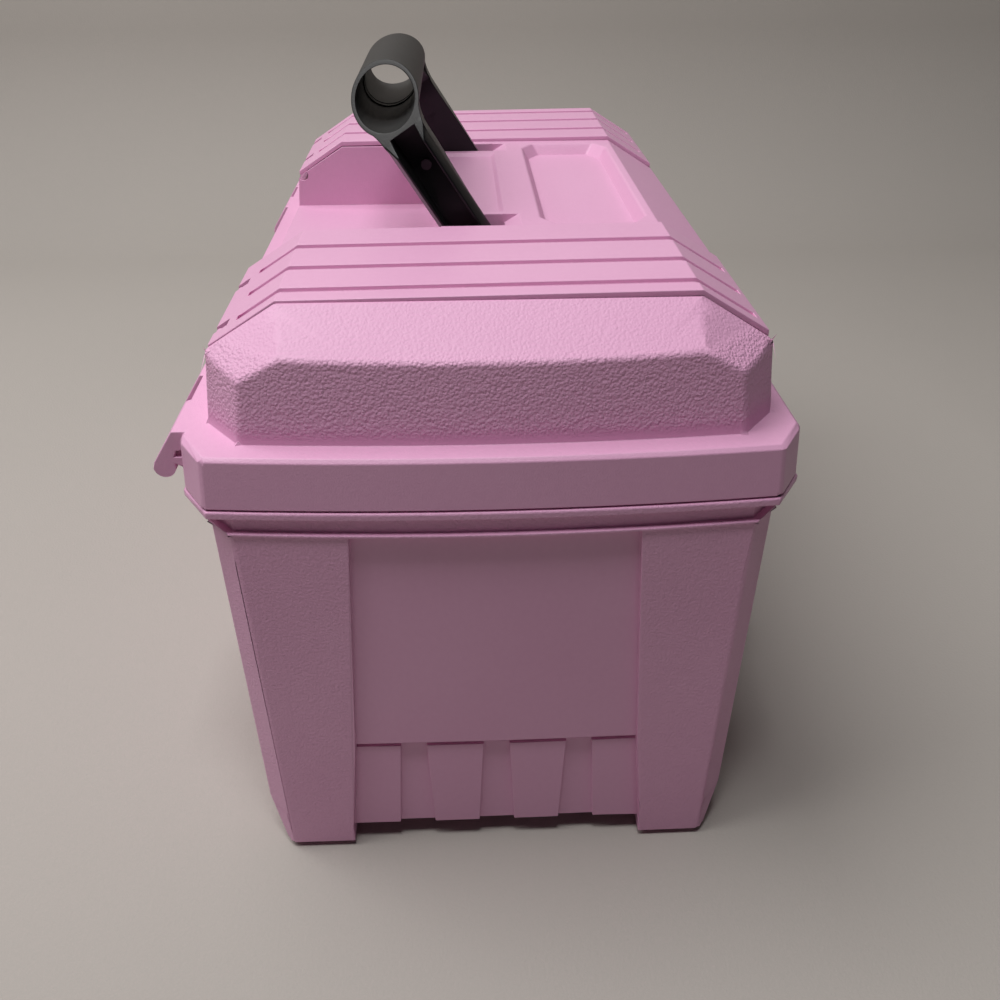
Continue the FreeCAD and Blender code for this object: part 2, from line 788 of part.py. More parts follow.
def make_slopes(body):
    """The side slopes, end slopes and corner facets of the raised top."""
    reach_x = lid_half_length + CUT_MARGIN
    reach_y = lid_half_width + CUT_MARGIN
    low = slope_height(reach_y, 0)
    above = lid_top + CUT_MARGIN
    prisms(body, "YZ_Plane", -reach_x, 2 * reach_x, both_sides([
        (mm.flat_half_width, lid_top), (reach_y, low), (reach_y, above),
        (mm.flat_half_width, above)]), cut=True)
    end_low = lid_top - mm.end_fall * (reach_x - mm.end_slope_start)
    prisms(body, "XZ_Plane", -reach_y, 2 * reach_y, both_sides([
        (mm.end_slope_start, lid_top), (reach_x, end_low), (reach_x, above),
        (mm.end_slope_start, above)]), cut=True)
    # each facet is the plane through the seam corner and two points of the end wall's top
    end_x = lid_half_length - mm.raised_inset_x - mm.raised_draft / 2
    run_x = end_x - mm.facet_top_x
    run_y = mm.facet_low_y - mm.facet_end_y
    fall_y = (mm.facet_low_drop - mm.facet_end_drop) / run_y
    fall_x = (mm.facet_end_drop + fall_y * (mm.facet_top_y - mm.facet_end_y)) / run_x

    def facet(height, side_x, side_y):
        drop = cover_top - height
        # the level line: fall_x * (x - top_x) + fall_y * (y - top_y) = drop
        line_y = mm.facet_top_y + (drop - fall_x * (reach_x - mm.facet_top_x)) / fall_y
        line_x = mm.facet_top_x + (drop - fall_y * (reach_y - mm.facet_top_y)) / fall_x
        points = [(reach_x, line_y), (reach_x, reach_y), (line_x, reach_y)]
        points = [(side_x * x, side_y * y) for x, y in points]
        if side_x * side_y < 0:
            points.reverse()
        return draw(body, "XY_Plane", height, points)
    for side_x in (-1, 1):
        for side_y in (-1, 1):
            blend(body, [facet(flange_top + mm.end_crown * 3, side_x, side_y),
                         facet(lid_top + mm.flange_edge_round, side_x, side_y)], cut=True)


def hollow_lid(body, end, side):
    """The underside: the moulding is a shell, open from below."""
    wall = mm.lid_wall
    blend(body, [
        crowned(body, mm.flange_bottom, lid_half_length - wall, lid_half_width - wall,
                lid_half_width - mm.lid_corner_y - wall / 2, mm.lid_corner_x, mm.end_crown),
        crowned(body, flange_top - wall, lid_half_length - wall - mm.flange_draft,
                lid_half_width - wall - mm.flange_draft,
                lid_half_width - mm.lid_corner_y - wall / 2 - mm.flange_draft,
                mm.lid_corner_x, mm.end_crown),
    ], cut=True)
    inner = crowned(body, flange_top - wall, end - wall, side - wall,
                    side - mm.raised_corner_y - wall / 2, mm.raised_corner_x, mm.raised_crown)
    extrude(body, inner, deck_bottom - flange_top + wall, cut=True)
    base = deck_bottom - CUT_MARGIN
    # behind the front recess, and round the two arm slots
    front = slope_height(mm.bin_half_width, 0) - mm.roof_thick
    wide = mm.cover_inner - mm.cover_gap - mm.well_side_wall
    narrow = mm.slot_inner - wall
    slot_y = -mm.slot_front - wall
    back_y = mm.well_front - wall
    roof = lid_top - mm.recess_deep - mm.roof_thick
    points = [(-wide, -mm.flat_half_width), (wide, -mm.flat_half_width), (wide, slot_y),
              (narrow, slot_y), (narrow, back_y), (-narrow, back_y), (-narrow, slot_y),
              (-wide, slot_y)]
    prism(body, "XY_Plane", base, roof - base, points, cut=True)
    prism(body, "XY_Plane", base, front - base,
          rectangle(-wide, wide, -mm.bin_half_width, -mm.flat_half_width), cut=True)
    # under the end slopes
    low = mm.bin_outer + mm.divider_slot_deep + wall
    high = lid_half_length - mm.raised_inset_x - mm.raised_draft - wall
    top = lid_top - mm.end_fall * (high - mm.end_slope_start) - mm.roof_thick
    prisms(body, "XY_Plane", base, top - base,
           both_sides(rectangle(low, high, -mm.facet_end_y, mm.facet_end_y)), cut=True)
    # four rest pads that meet the tub's rim
    low, high = mm.rest_place - mm.rest_half, mm.rest_place + mm.rest_half
    near, far = lid_half_width - wall, lid_half_width - wall / 5
    pads = both_sides(rectangle(low, high, near, far))
    pads += both_sides(rectangle(low, high, -far, -near))
    start = rim_top + mm.rest_gap
    prisms(body, "XY_Plane", start, mm.flange_bottom - start + wall, pads)


def bin_outline():
    """The outline of one bin with the slots of its dividers."""
    low, high = mm.bin_inner, mm.bin_outer
    deep = mm.divider_slot_deep
    half = mm.divider_thick / 2 + mm.divider_gap
    front, back = -mm.bin_divider_place, as_size(mm.bin_divider_place)
    cut = mm.bin_corner
    edge = mm.bin_half_width
    right = []
    left = []
    for middle in (front, back):
        right += [(high, middle - half), (high + deep, middle - half),
                  (high + deep, middle + half), (high, middle + half)]
    for middle in (back, front):
        left += [(low, middle + half), (low - deep, middle + half),
                 (low - deep, middle - half), (low, middle - half)]
    return ([(low + cut, -edge), (high - cut, -edge), (high, cut - edge)] + right
            + [(high, edge - cut), (high - cut, edge), (low + cut, edge), (low, edge - cut)]
            + left + [(low, cut - edge)])


def make_bins(body):
    """The two bins, the seats of their covers, the divider slots and the hinge lugs."""
    prisms(body, "XY_Plane", bin_floor, mm.bin_floor_drop + CUT_MARGIN,
           both_sides(bin_outline()), cut=True)
    seat_drop = mm.cover_thick + mm.cover_seat_gap - mm.cover_proud
    axis = (mm.cover_hinge_y, cover_hinge_z)
    foot = cover_hinge_z - mm.hinge_relief - mm.lid_wall / 2
    radius = mm.cover_knuckle_radius
    lug = [
        (mm.cover_hinge_y + radius, cover_hinge_z), (mm.cover_hinge_y - radius, cover_hinge_z),
        (mm.cover_hinge_y - radius, foot), (mm.cover_hinge_y + radius, foot),
    ]
    inner = mm.cover_knuckle_inner - mm.cover_lug_gap - mm.cover_lug_length
    outer = mm.cover_knuckle_outer + mm.cover_lug_gap
    for _, side in SIDES:
        low, high = span(side, mm.cover_inner - mm.cover_gap, mm.cover_outer + mm.cover_gap)
        prism(body, "YZ_Plane", low, high - low, roof_points(seat_drop, lid_half_width),
              cut=True)
        rod(body, "YZ_Plane", low, high - low, axis, mm.hinge_relief, cut=True)
        for start in (inner, outer):
            low, high = span(side, start, start + mm.cover_lug_length)
            prism(body, "YZ_Plane", low, high - low, lug,
                  arcs={0: (radius, True, "DistanceY", cover_hinge_z)})
        low, high = span(side, inner - mm.cover_lug_gap,
                         outer + mm.cover_lug_length + mm.cover_lug_gap)
        rod(body, "YZ_Plane", low, high - low, axis, mm.cover_pin_radius + mm.pin_play,
            cut=True)


def make_centre(body):
    """The handle well, the arm slots, the sunken panel and the front recess."""
    above = CUT_MARGIN
    well_half = mm.cover_inner - mm.cover_gap
    prism(body, "XY_Plane", well_floor, mm.well_deep + above,
          rectangle(-well_half, well_half, mm.well_front, lid_half_width + CUT_MARGIN),
          cut=True)
    low, high = mm.slot_inner, mm.slot_outer
    prisms(body, "XY_Plane", lid_top - mm.slot_deep, mm.slot_deep + above, both_sides(
        rectangle(low, high, -mm.slot_front, mm.well_front + 1)), cut=True)
    foot = lid_top - mm.ramp_deep
    ramp = [(-mm.ramp_front, lid_top), (-mm.slot_front, foot), (1 - mm.slot_front, foot),
            (1 - mm.slot_front, lid_top + above), (-mm.ramp_front, lid_top + above)]
    for _, side in SIDES:
        low, high = span(side, mm.slot_inner, mm.slot_outer)
        prism(body, "YZ_Plane", low, high - low, ramp, cut=True)
    reach = mm.bin_inner - mm.divider_slot_deep - mm.roof_thick / 2
    rod(body, "YZ_Plane", -reach, 2 * reach, (mm.handle_pivot_y, handle_pivot_z),
        mm.handle_pin_radius + mm.pin_play, cut=True)
    run = mm.panel_wall_run
    half = mm.panel_half_length
    front = -mm.slot_front
    blend(body, [
        draw(body, "XY_Plane", lid_top - mm.panel_deep,
             rectangle(-half + run, half - run, front + run, mm.well_front + 1)),
        draw(body, "XY_Plane", lid_top + 0.05,
             rectangle(-half, half, front, mm.well_front + 1)),
    ], cut=True)
    sketches = []
    for height, run in ((lid_top - mm.recess_deep, mm.recess_wall_run),
                        (lid_top + 0.05, as_size(0))):
        sketches.append(draw(body, "XY_Plane", height, cut_corners(
            -mm.recess_half_length + run, mm.recess_half_length - run,
            -mm.recess_front + run, -mm.recess_back - run,
            mm.recess_corner_x, mm.recess_corner_y)))
    blend(body, sketches, cut=True)


def make_lid_hinges(body):
    """The rail and the two pairs of knuckles along the lid's back edge."""
    rail_out = lid_half_width - mm.flange_draft + mm.hinge_rail_proud
    rail_in = lid_half_width - mm.flange_draft - mm.lid_wall
    rail_low = flange_top - mm.hinge_rail_tall
    prism(body, "YZ_Plane", -mm.knuckle_outer, 2 * mm.knuckle_outer, [
        (rail_in, rail_low - mm.hinge_rail_proud), (lid_half_width, rail_low - mm.hinge_rail_proud),
        (rail_out, rail_low), (rail_out, flange_top), (rail_in, flange_top)])
    axis = (mm.hinge_y, mm.hinge_height)
    knuckle_out = mm.hinge_y + mm.hinge_radius
    knuckle_in = mm.hinge_y - mm.hinge_radius
    arm = [
        (knuckle_in, mm.hinge_height), (knuckle_out, mm.hinge_height),
        (knuckle_out - mm.hinge_radius / 7, mm.hinge_height + mm.hinge_radius / 2),
        (rail_out + mm.hinge_arm_proud, flange_top), (rail_in, flange_top),
        (rail_in, flange_top - mm.hinge_rail_tall * 1.6),
        (lid_half_width + mm.lid_wall, mm.hinge_height + 1.6 * mm.hinge_radius),
        (knuckle_in, mm.hinge_height + mm.hinge_radius),
    ]
    outer_start = mm.knuckle_outer - mm.knuckle_length
    inner_start = mm.knuckle_outer - 3 * mm.knuckle_length
    gusset_y = rail_in + mm.lid_wall / 2
    tip_y = knuckle_in + mm.hinge_radius / 4
    gusset = [
        (gusset_y, mm.hinge_height - mm.lid_wall), (tip_y, mm.hinge_height + mm.hinge_radius / 2),
        (tip_y, mm.hinge_height + mm.hinge_radius), (gusset_y, mm.hinge_height + mm.hinge_radius),
    ]
    for _, side in SIDES:
        for start, gap in ((outer_start, as_size(0)), (inner_start, mm.knuckle_gap)):
            low, high = span(side, start, start + mm.knuckle_length - gap)
            prism(body, "YZ_Plane", low, high - low, arm,
                  arcs={0: (mm.hinge_radius, True, "DistanceY", mm.hinge_height)})
        low, high = span(side, mm.knuckle_outer - mm.lid_wall, mm.knuckle_outer)
        prism(body, "YZ_Plane", low, high - low, gusset)
    reach = mm.knuckle_outer - mm.blind_end
    rod(body, "YZ_Plane", -reach, 2 * reach, axis, mm.hinge_pin_radius + mm.pin_play, cut=True)


latch_y = -(lid_half_width - mm.flange_draft / 2 + mm.latch_axis_out)
latch_z = flange_top - mm.latch_axis_drop


def make_latch_ears(body):
    """Two pairs of ears on the front of the flange that carry the latches."""
    radius = mm.latch_radius
    root = mm.lid_wall - lid_half_width
    ear = [
        (latch_y, latch_z - radius), (root, latch_z - radius - mm.lid_wall),
        (root, latch_z + radius + mm.lid_wall / 2), (latch_y, latch_z + radius),
    ]
    inner = mm.latch_half + mm.latch_ear_gap
    for _, side in SIDES:
        for turn in (-1, 1):
            near, far = span(turn, inner, inner + mm.latch_ear)
            prism(body, "YZ_Plane", side * mm.latch_place + near, far - near, ear,
                  arcs={3: (radius, True, "DistanceX", latch_y)})
    reach = mm.latch_place + mm.latch_half + mm.latch_ear + mm.knuckle_gap * 2
    rod(body, "YZ_Plane", -reach, 2 * reach, (latch_y, latch_z),
        mm.latch_pin_radius + mm.pin_play, cut=True)


def make_latch(name, side):
    """A front latch: barrel, plate, snap bead under the rim and a lifting tab."""
    body = new_body(name)
    start = side * mm.latch_place - mm.latch_half
    width = 2 * mm.latch_half
    radius = mm.latch_radius
    face = latch_y - radius
    back = face + mm.latch_plate
    bead = -mm.rim_side - mm.latch_bead_gap
    # the lifting tab stands out as far as the hinge barrels on the back
    tab = -mm.hinge_y - mm.hinge_radius
    prism(body, "YZ_Plane", start, width, [
        (face, latch_z), (face, mm.latch_low + 2 * mm.latch_plate),
        (tab, mm.latch_low), (tab + mm.latch_plate, mm.latch_low),
        (back, mm.latch_low + 1.2 * mm.latch_plate), (back, mm.latch_bead_low),
        (bead, mm.latch_bead_low + 1), (bead, mm.latch_bead_top), (back, mm.latch_bead_top),
        (back, latch_z)])
    rod(body, "YZ_Plane", start, width, (latch_y, latch_z), radius)
    rod(body, "YZ_Plane", start - 1, width + 2, (latch_y, latch_z),
        mm.latch_pin_radius + mm.pin_play, cut=True)
    return body


def make_cover(name, side):
    """A bin cover: bent plate with three grooves, hinged on its back edge.

    It is drawn from its hinge line, so the placement can leave it a little ajar.
    """
    body = new_body(name)

    def from_hinge(points):
        return [(y - mm.cover_hinge_y, z - cover_hinge_z) for y, z in points]
    reach = mm.cover_reach
    outer = slope_height(reach, -mm.cover_proud)
    flat = mm.flat_half_width
    thick = mm.cover_thick
    points = [
        (-flat, cover_top - thick), (-reach, outer - thick), (-reach, outer),
        (-flat, cover_top), (flat, cover_top), (reach, outer), (reach, outer - thick),
        (flat, cover_top - thick),
    ]
    points.reverse()
    low, high = span(side, mm.cover_inner, mm.cover_outer)
    prism(body, "YZ_Plane", low, high - low, from_hinge(points))
    for middle in (mm.groove_near, mm.groove_middle, mm.groove_far):
        g_low, g_high = span(side, middle - mm.groove_width / 2, middle + mm.groove_width / 2)
        outline = roof_points(mm.groove_deep - mm.cover_proud, mm.groove_back,
                              mm.groove_front)
        prism(body, "YZ_Plane", g_low, g_high - g_low, from_hinge(outline), cut=True)
    # knuckle, the notches beside it that clear the lid's lugs, and the bore
    k_low, k_high = span(side, mm.cover_knuckle_inner, mm.cover_knuckle_outer)
    zero = as_size(0)
    radius = mm.cover_knuckle_radius
    rod(body, "YZ_Plane", k_low, k_high - k_low, (zero, zero), radius)
    notch = mm.cover_lug_length + 2 * mm.cover_lug_gap
    inner_notch = mm.cover_knuckle_inner - notch
    for start in (inner_notch, mm.cover_knuckle_outer):
        n_low, n_high = span(side, start, start + notch)
        prism(body, "XY_Plane", -mm.cover_hinge_drop, 2 * mm.cover_hinge_drop,
              rectangle(n_low, n_high, -mm.hinge_relief - 0.5, mm.hinge_relief + 1), cut=True)
    b_low, b_high = span(side, inner_notch, mm.cover_knuckle_outer + notch)
    rod(body, "YZ_Plane", b_low, b_high - b_low, (zero, zero),
        mm.cover_pin_radius + mm.pin_play, cut=True)
    body.Placement = FreeCAD.Placement(
        FreeCAD.Vector(0, mm.cover_hinge_y.value, cover_hinge_z.value),
        FreeCAD.Rotation(FreeCAD.Vector(1, 0, 0), -mm.cover_ajar.value),
    )
    bind(body, "Placement.Base.y", mm.cover_hinge_y)
    bind(body, "Placement.Base.z", cover_hinge_z)
    bind(body, "Placement.Rotation.Angle", -mm.cover_ajar)
    return body


handle_pivot_z = lid_top - mm.handle_pivot_drop


def make_handle():
    """The carry handle: an open tubular grip between two channelled arms, one moulding.

    It is drawn upright from its pivot line, and the placement leans it back.
    """
    body = new_body("carry_handle")
    top = mm.grip_up + mm.grip_half_up
    slant = (mm.arm_outer - mm.grip_top_half) / (top - mm.arm_bend)
    grip_low = mm.grip_up - mm.grip_half_up
    foot = -mm.arm_half_across
    inner_neck = mm.arm_outer - mm.arm_neck
    inner = mm.arm_outer - mm.arm_thick
    half = mm.arm_half_across

    def outer_at(up):
        return mm.arm_outer - slant * (up - mm.arm_bend)
    oval = draw_oval(body, "YZ_Plane", -mm.arm_outer, (as_size(0), mm.grip_up),
                     mm.grip_half_across, mm.grip_half_up)
    extrude(body, oval, 2 * mm.arm_outer)
    for _, side in SIDES:
        points = [
            (inner_neck, foot), (mm.arm_outer, foot), (mm.arm_outer, mm.arm_bend),
            (outer_at(mm.grip_up), mm.grip_up), (outer_at(mm.grip_up) - mm.arm_thick, mm.grip_up),
            (inner, grip_low - mm.grip_wall), (inner, mm.arm_shoulder_top),
            (inner_neck, mm.arm_neck_top),
        ]
        if side < 0:
            points = mirrored(points)
        prism(body, "XZ_Plane", -half, 2 * half, points)
    # hollow necks lead from the grip into the arms
    neck = [
        (-half, mm.arm_shoulder_top), (half, mm.arm_shoulder_top), (half, mm.neck_low),
        (mm.neck_half, mm.neck_high), (-mm.neck_half, mm.neck_high), (-half, mm.neck_low),
    ]
    for _, side in SIDES:
        low, high = span(side, inner, mm.arm_outer)
        prism(body, "YZ_Plane", low, high - low, neck,
              arcs={2: (mm.neck_radius, False), 4: (mm.neck_radius, False)})
    # the ends of the grip slant outward towards the lid
    beyond = mm.arm_outer + CUT_MARGIN
    for _, side in SIDES:
        points = [
            (mm.arm_outer, mm.arm_bend), (beyond, mm.arm_bend), (beyond, top + CUT_MARGIN),
            (outer_at(top + CUT_MARGIN), top + CUT_MARGIN),
        ]
        if side < 0:
            points = mirrored(points)
        prism(body, "XZ_Plane", -beyond, 2 * beyond, points, cut=True)
    # the arms' sides lean in towards the open side of their channels
    lean_start = mm.arm_outer - mm.arm_bevel_deep
    lean_end = half - mm.arm_bevel_across * (beyond - lean_start) / mm.arm_bevel_deep
    outlines = []
    for _, side in SIDES:
        for turn in (-1, 1):
            points = [(side * lean_start, turn * half), (side * beyond, turn * lean_end),
                      (side * beyond, turn * (half + 1)), (side * lean_start, turn * (half + 1))]
            if side * turn < 0:
                points.reverse()
            outlines.append(points)
    prisms(body, "XY_Plane", foot, mm.arm_bend + mm.arm_bevel_deep / slant - foot, outlines,
           cut=True)
    # channels, open outward
    rim = mm.arm_rim
    pocket_top = as_size(grip_low)
    for _, side in SIDES:
        points = [
            (inner_neck + mm.arm_web, -mm.channel_foot), (beyond, -mm.channel_foot),
            (beyond, pocket_top), (inner + mm.arm_web, pocket_top),
            (inner + mm.arm_web, mm.arm_shoulder_top), (inner_neck + mm.arm_web, mm.arm_neck_top),
        ]
        if side < 0:
            points = mirrored(points)
        prism(body, "XZ_Plane", -(half - rim), 2 * (half - rim), points, cut=True)
    bore = draw_oval(body, "YZ_Plane", -beyond, (as_size(0), mm.grip_up),
                     mm.grip_half_across - mm.grip_wall, mm.grip_half_up - mm.grip_wall)
    extrude(body, bore, 2 * beyond, cut=True)
    # the ring inside the grip where the two bores meet
    ring = draw_oval(body, "YZ_Plane", -mm.grip_step_half, (as_size(0), mm.grip_up),
                     mm.grip_half_across - mm.grip_wall / 2, mm.grip_half_up - mm.grip_wall / 2)
    extrude(body, ring, 2 * mm.grip_step_half)
    hole = draw_oval(body, "YZ_Plane", -beyond, (as_size(0), mm.grip_up),
                     mm.grip_half_across - mm.grip_wall - mm.grip_step,
                     mm.grip_half_up - mm.grip_wall - mm.grip_step)
    extrude(body, hole, 2 * beyond, cut=True)
    # feet rounded about the pivot, with bosses and bores, and a small boss on each web
    web_floor = inner_neck + mm.arm_web - (inner_neck - inner) * (
        (mm.web_boss_up - mm.arm_neck_top) / (mm.arm_shoulder_top - mm.arm_neck_top)
    )
    zero = as_size(0)
    away = half + mm.arm_rim
    prism(body, "YZ_Plane", -beyond, 2 * beyond, [
        (-away, -away), (away, -away), (away, zero), (half, zero), (-half, zero), (-away, zero),
    ], cut=True, arcs={3: (half, False, "DistanceY", zero)})
    for _, side in SIDES:
        low, high = span(side, inner_neck, mm.arm_outer - mm.arm_web / 2)
        rod(body, "YZ_Plane", low, high - low, (zero, zero), mm.pivot_boss_radius)
        low, high = span(side, web_floor - mm.arm_web, web_floor + mm.web_boss_tall)
        rod(body, "YZ_Plane", low, high - low, (zero, mm.web_boss_up), mm.web_boss_radius)
    rod(body, "YZ_Plane", -beyond, 2 * beyond, (zero, zero),
        mm.handle_pin_radius + mm.pin_play, cut=True)
    body.Placement = FreeCAD.Placement(
        FreeCAD.Vector(0, mm.handle_pivot_y.value, handle_pivot_z.value),
        FreeCAD.Rotation(FreeCAD.Vector(1, 0, 0), -mm.handle_lean.value),
    )
    bind(body, "Placement.Base.y", mm.handle_pivot_y)
    bind(body, "Placement.Base.z", handle_pivot_z)
    bind(body, "Placement.Rotation.Angle", -mm.handle_lean)
    return body


def make_pin(name, start, finish, y, z, radius):
    """A round pin along X."""
    pin = doc.addObject("Part::Cylinder", name)
    pin.Label = name
    start, finish, y, z = (as_size(value) for value in (start, finish, y, z))
    pin.Placement = FreeCAD.Placement(
        FreeCAD.Vector(start.value, y.value, z.value),
        FreeCAD.Rotation(FreeCAD.Vector(0, 1, 0), 90),
    )
    bind(pin, "Radius", radius)
    bind(pin, "Height", finish - start)
    bind(pin, "Placement.Base.x", start)
    bind(pin, "Placement.Base.y", y)
    bind(pin, "Placement.Base.z", z)
    return pin


def make_tray():
    """The lift-out tray: open box with a middle spine that has a finger slot."""
    body = new_body("lift_out_tray")
    bottom = mm.tray_ledge_height + mm.tray_seat_gap
    top = bottom + mm.tray_tall
    wall = mm.tray_wall
    length, width, flare = mm.tray_half_length, mm.tray_half_width, mm.tray_flare

    def outline(height, length, width):
        return draw(body, "XY_Plane", height, cut_corners(
            -length, length, -width, width, mm.tray_corner, mm.tray_corner))
    blend(body, [outline(bottom, length, width), outline(top, length + flare, width + flare)])
    extrude(body, outline(top - mm.tray_rim_tall, length + flare + mm.tray_rim_reach,
                          width + flare + mm.tray_rim_reach), mm.tray_rim_tall)
    half_spine = mm.spine_thick / 2
    floor = bottom + wall
    for place in (-1, 1):
        sketches = []
        for height, out in ((floor, as_size(0)), (top, flare)):
            y_low, y_high = half_spine, width - wall + out
            if place < 0:
                y_low, y_high = -y_high, -y_low
            sketches.append(draw(body, "XY_Plane", height, cut_corners(
                -(length - wall + out), length - wall + out, y_low, y_high,
                mm.tray_corner, mm.tray_corner)))
        blend(body, sketches, cut=True)
    grip_top = top - mm.grip_bar_tall
    prism(body, "XZ_Plane", -(half_spine + 1), mm.spine_thick + 2, cut_corners(
        -mm.grip_slot_half, mm.grip_slot_half, grip_top - mm.grip_slot_tall, grip_top,
        mm.tray_corner, mm.tray_corner), cut=True)
    gap = mm.divider_thick / 2 + mm.divider_gap
    for x, side in tray_divider_places():
        points = divider_outline(as_size(0), side)
        prism(body, "YZ_Plane", x - gap, 2 * gap, points, cut=True)
    return body


def divider_outline(gap, side):
    """The outline of a tray divider's slot, or of the divider that is smaller by gap."""
    bottom = mm.tray_ledge_height + mm.tray_seat_gap + mm.tray_wall + gap
    tall = mm.tray_tall - mm.tray_wall - gap * mm.tray_divider_top_gap / mm.divider_gap
    inner = mm.spine_thick / 2 - mm.divider_slot_deep + gap
    outer = mm.tray_half_width - mm.tray_wall + mm.divider_slot_deep - gap
    lean = mm.tray_flare * tall / mm.tray_tall
    points = [(inner, bottom), (outer, bottom), (outer + lean, bottom + tall),
              (inner, bottom + tall)]
    return points if side > 0 else mirrored(points)


def tray_divider_places():
    """Where the tray's dividers stand: X, and the row they are in."""
    return [(-mm.tray_divider_place, -1), (mm.tray_divider_place, -1),
            (mm.tray_divider_place * 1.5, 1)]


def make_tray_divider(name, x, side):
    """A plate that drops into two slots of the tray."""
    body = new_body(name)
    prism(body, "YZ_Plane", x - mm.divider_thick / 2, mm.divider_thick,
          divider_outline(mm.divider_gap, side))
    return body


def make_bin_divider(name, side, place):
    """A plate that drops into two slots of a bin."""
    body = new_body(name)
    bottom = bin_floor + mm.divider_gap
    inner = mm.bin_inner - mm.divider_slot_deep + mm.divider_gap
    outer = mm.bin_outer + mm.divider_slot_deep - mm.divider_gap
    top = cover_top - mm.cover_thick - mm.bin_divider_top_gap
    low, high = span(side, inner, outer)
    points = cut_corners(low, high, bottom, top, mm.tray_wall, mm.tray_wall)
    middle = -place * mm.bin_divider_place
    prism(body, "XZ_Plane", middle - mm.divider_thick / 2, mm.divider_thick, points)
    return body


def make_all():
    """Builds every node of the box and gives them back in order."""
    nodes = [make_base(), make_lid(), make_handle(), make_tray()]
    for name, side in SIDES:
        nodes.append(make_cover("bin_cover_" + name, side))
        nodes.append(make_latch("front_latch_" + name, side))
        low, high = span(side, mm.knuckle_outer - 3 * mm.knuckle_length,
                         mm.knuckle_outer - mm.blind_end)
        nodes.append(make_pin("lid_hinge_pin_" + name, low, high, mm.hinge_y,
                              mm.hinge_height, mm.hinge_pin_radius))
        lug = mm.cover_lug_gap + mm.cover_lug_length
        low, high = span(side, mm.cover_knuckle_inner - lug, mm.cover_knuckle_outer + lug)
        nodes.append(make_pin("cover_pin_" + name, low, high, mm.cover_hinge_y,
                              cover_hinge_z, mm.cover_pin_radius))
        low, high = span(side, mm.slot_inner - mm.lid_wall,
                         mm.bin_inner - mm.divider_slot_deep - mm.roof_thick)
        nodes.append(make_pin("handle_pin_" + name, low, high, mm.handle_pivot_y,
                              handle_pivot_z, mm.handle_pin_radius))
        reach = mm.latch_half + mm.latch_ear + mm.latch_ear_gap
        middle = side * mm.latch_place
        nodes.append(make_pin("latch_pin_" + name, middle - reach, middle + reach, latch_y,
                              latch_z, mm.latch_pin_radius))
        for number, place in ((1, -1), (2, 1)):
            nodes.append(make_bin_divider("bin_divider_%s_%d" % (name, number), side, place))
    for number, (x, side) in enumerate(tray_divider_places(), start=1):
        nodes.append(make_tray_divider("tray_divider_%d" % number, x, side))
    return nodes


nodes = make_all()
doc.recompute()
for obj in doc.Objects:
    if "Invalid" in obj.State or "Error" in obj.State:
        raise RuntimeError("%s did not build: %s" % (obj.Name, obj.State))
os.makedirs("parts", exist_ok=True)
for node in nodes:
    shape = node.Shape
    if shape.isNull() or not shape.isValid() or not shape.Solids:
        raise RuntimeError("%s has no valid shape" % node.Label)
    shape.exportStep("parts/%s.step" % node.Label)
    box = shape.BoundBox
    print("%-22s solids %d volume %.0f  x %.1f %.1f  y %.1f %.1f  z %.1f %.1f" % (
        node.Label, len(shape.Solids), shape.Volume, box.XMin, box.XMax, box.YMin, box.YMax,
        box.ZMin, box.ZMax))
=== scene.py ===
"""Looks of a pink moulded craft organizer box: rounded mouldings, plastic finishes, studio."""

import logging
import math
from dataclasses import dataclass
from enum import Enum
from typing import Any, Callable, Iterable, Optional, Sequence, Union

import bmesh
import bpy
from mathutils import Matrix, Vector


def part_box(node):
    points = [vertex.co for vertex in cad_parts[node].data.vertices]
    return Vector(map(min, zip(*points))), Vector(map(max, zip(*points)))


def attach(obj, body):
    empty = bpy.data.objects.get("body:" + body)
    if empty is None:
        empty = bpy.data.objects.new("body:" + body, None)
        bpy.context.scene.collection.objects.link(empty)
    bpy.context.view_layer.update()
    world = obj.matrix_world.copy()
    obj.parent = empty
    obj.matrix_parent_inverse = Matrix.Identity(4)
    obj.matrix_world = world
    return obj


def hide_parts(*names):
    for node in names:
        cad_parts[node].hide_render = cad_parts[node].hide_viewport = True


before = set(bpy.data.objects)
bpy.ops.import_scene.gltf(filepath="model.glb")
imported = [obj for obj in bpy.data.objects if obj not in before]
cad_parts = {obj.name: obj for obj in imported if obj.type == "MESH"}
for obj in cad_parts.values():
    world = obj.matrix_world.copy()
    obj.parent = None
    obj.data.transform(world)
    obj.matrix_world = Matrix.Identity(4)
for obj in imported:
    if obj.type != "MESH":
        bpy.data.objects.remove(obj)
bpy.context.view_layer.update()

FAR = 10.0
MERGE_DISTANCE = 2e-6
FLAT_DISTANCE = 1e-6
CREASE_DEGREES = 36.0
FACE_WEIGHT = 50
log = logging.getLogger("organizer_box")

Colour = tuple[float, float, float]
Span = tuple[float, float]
Number = Union[float, "Value"]
Finishes = dict[str, bpy.types.Material]


class Side(Enum):
    """Which end of the box a cover or latch belongs to."""

    LEFT = "left"
    RIGHT = "right"


class Grain(Enum):
    """How fine the mould's texture is: features per metre and share of the relief."""

    SATIN = (900.0, 0.10)
    FINE = (1500.0, 0.35)


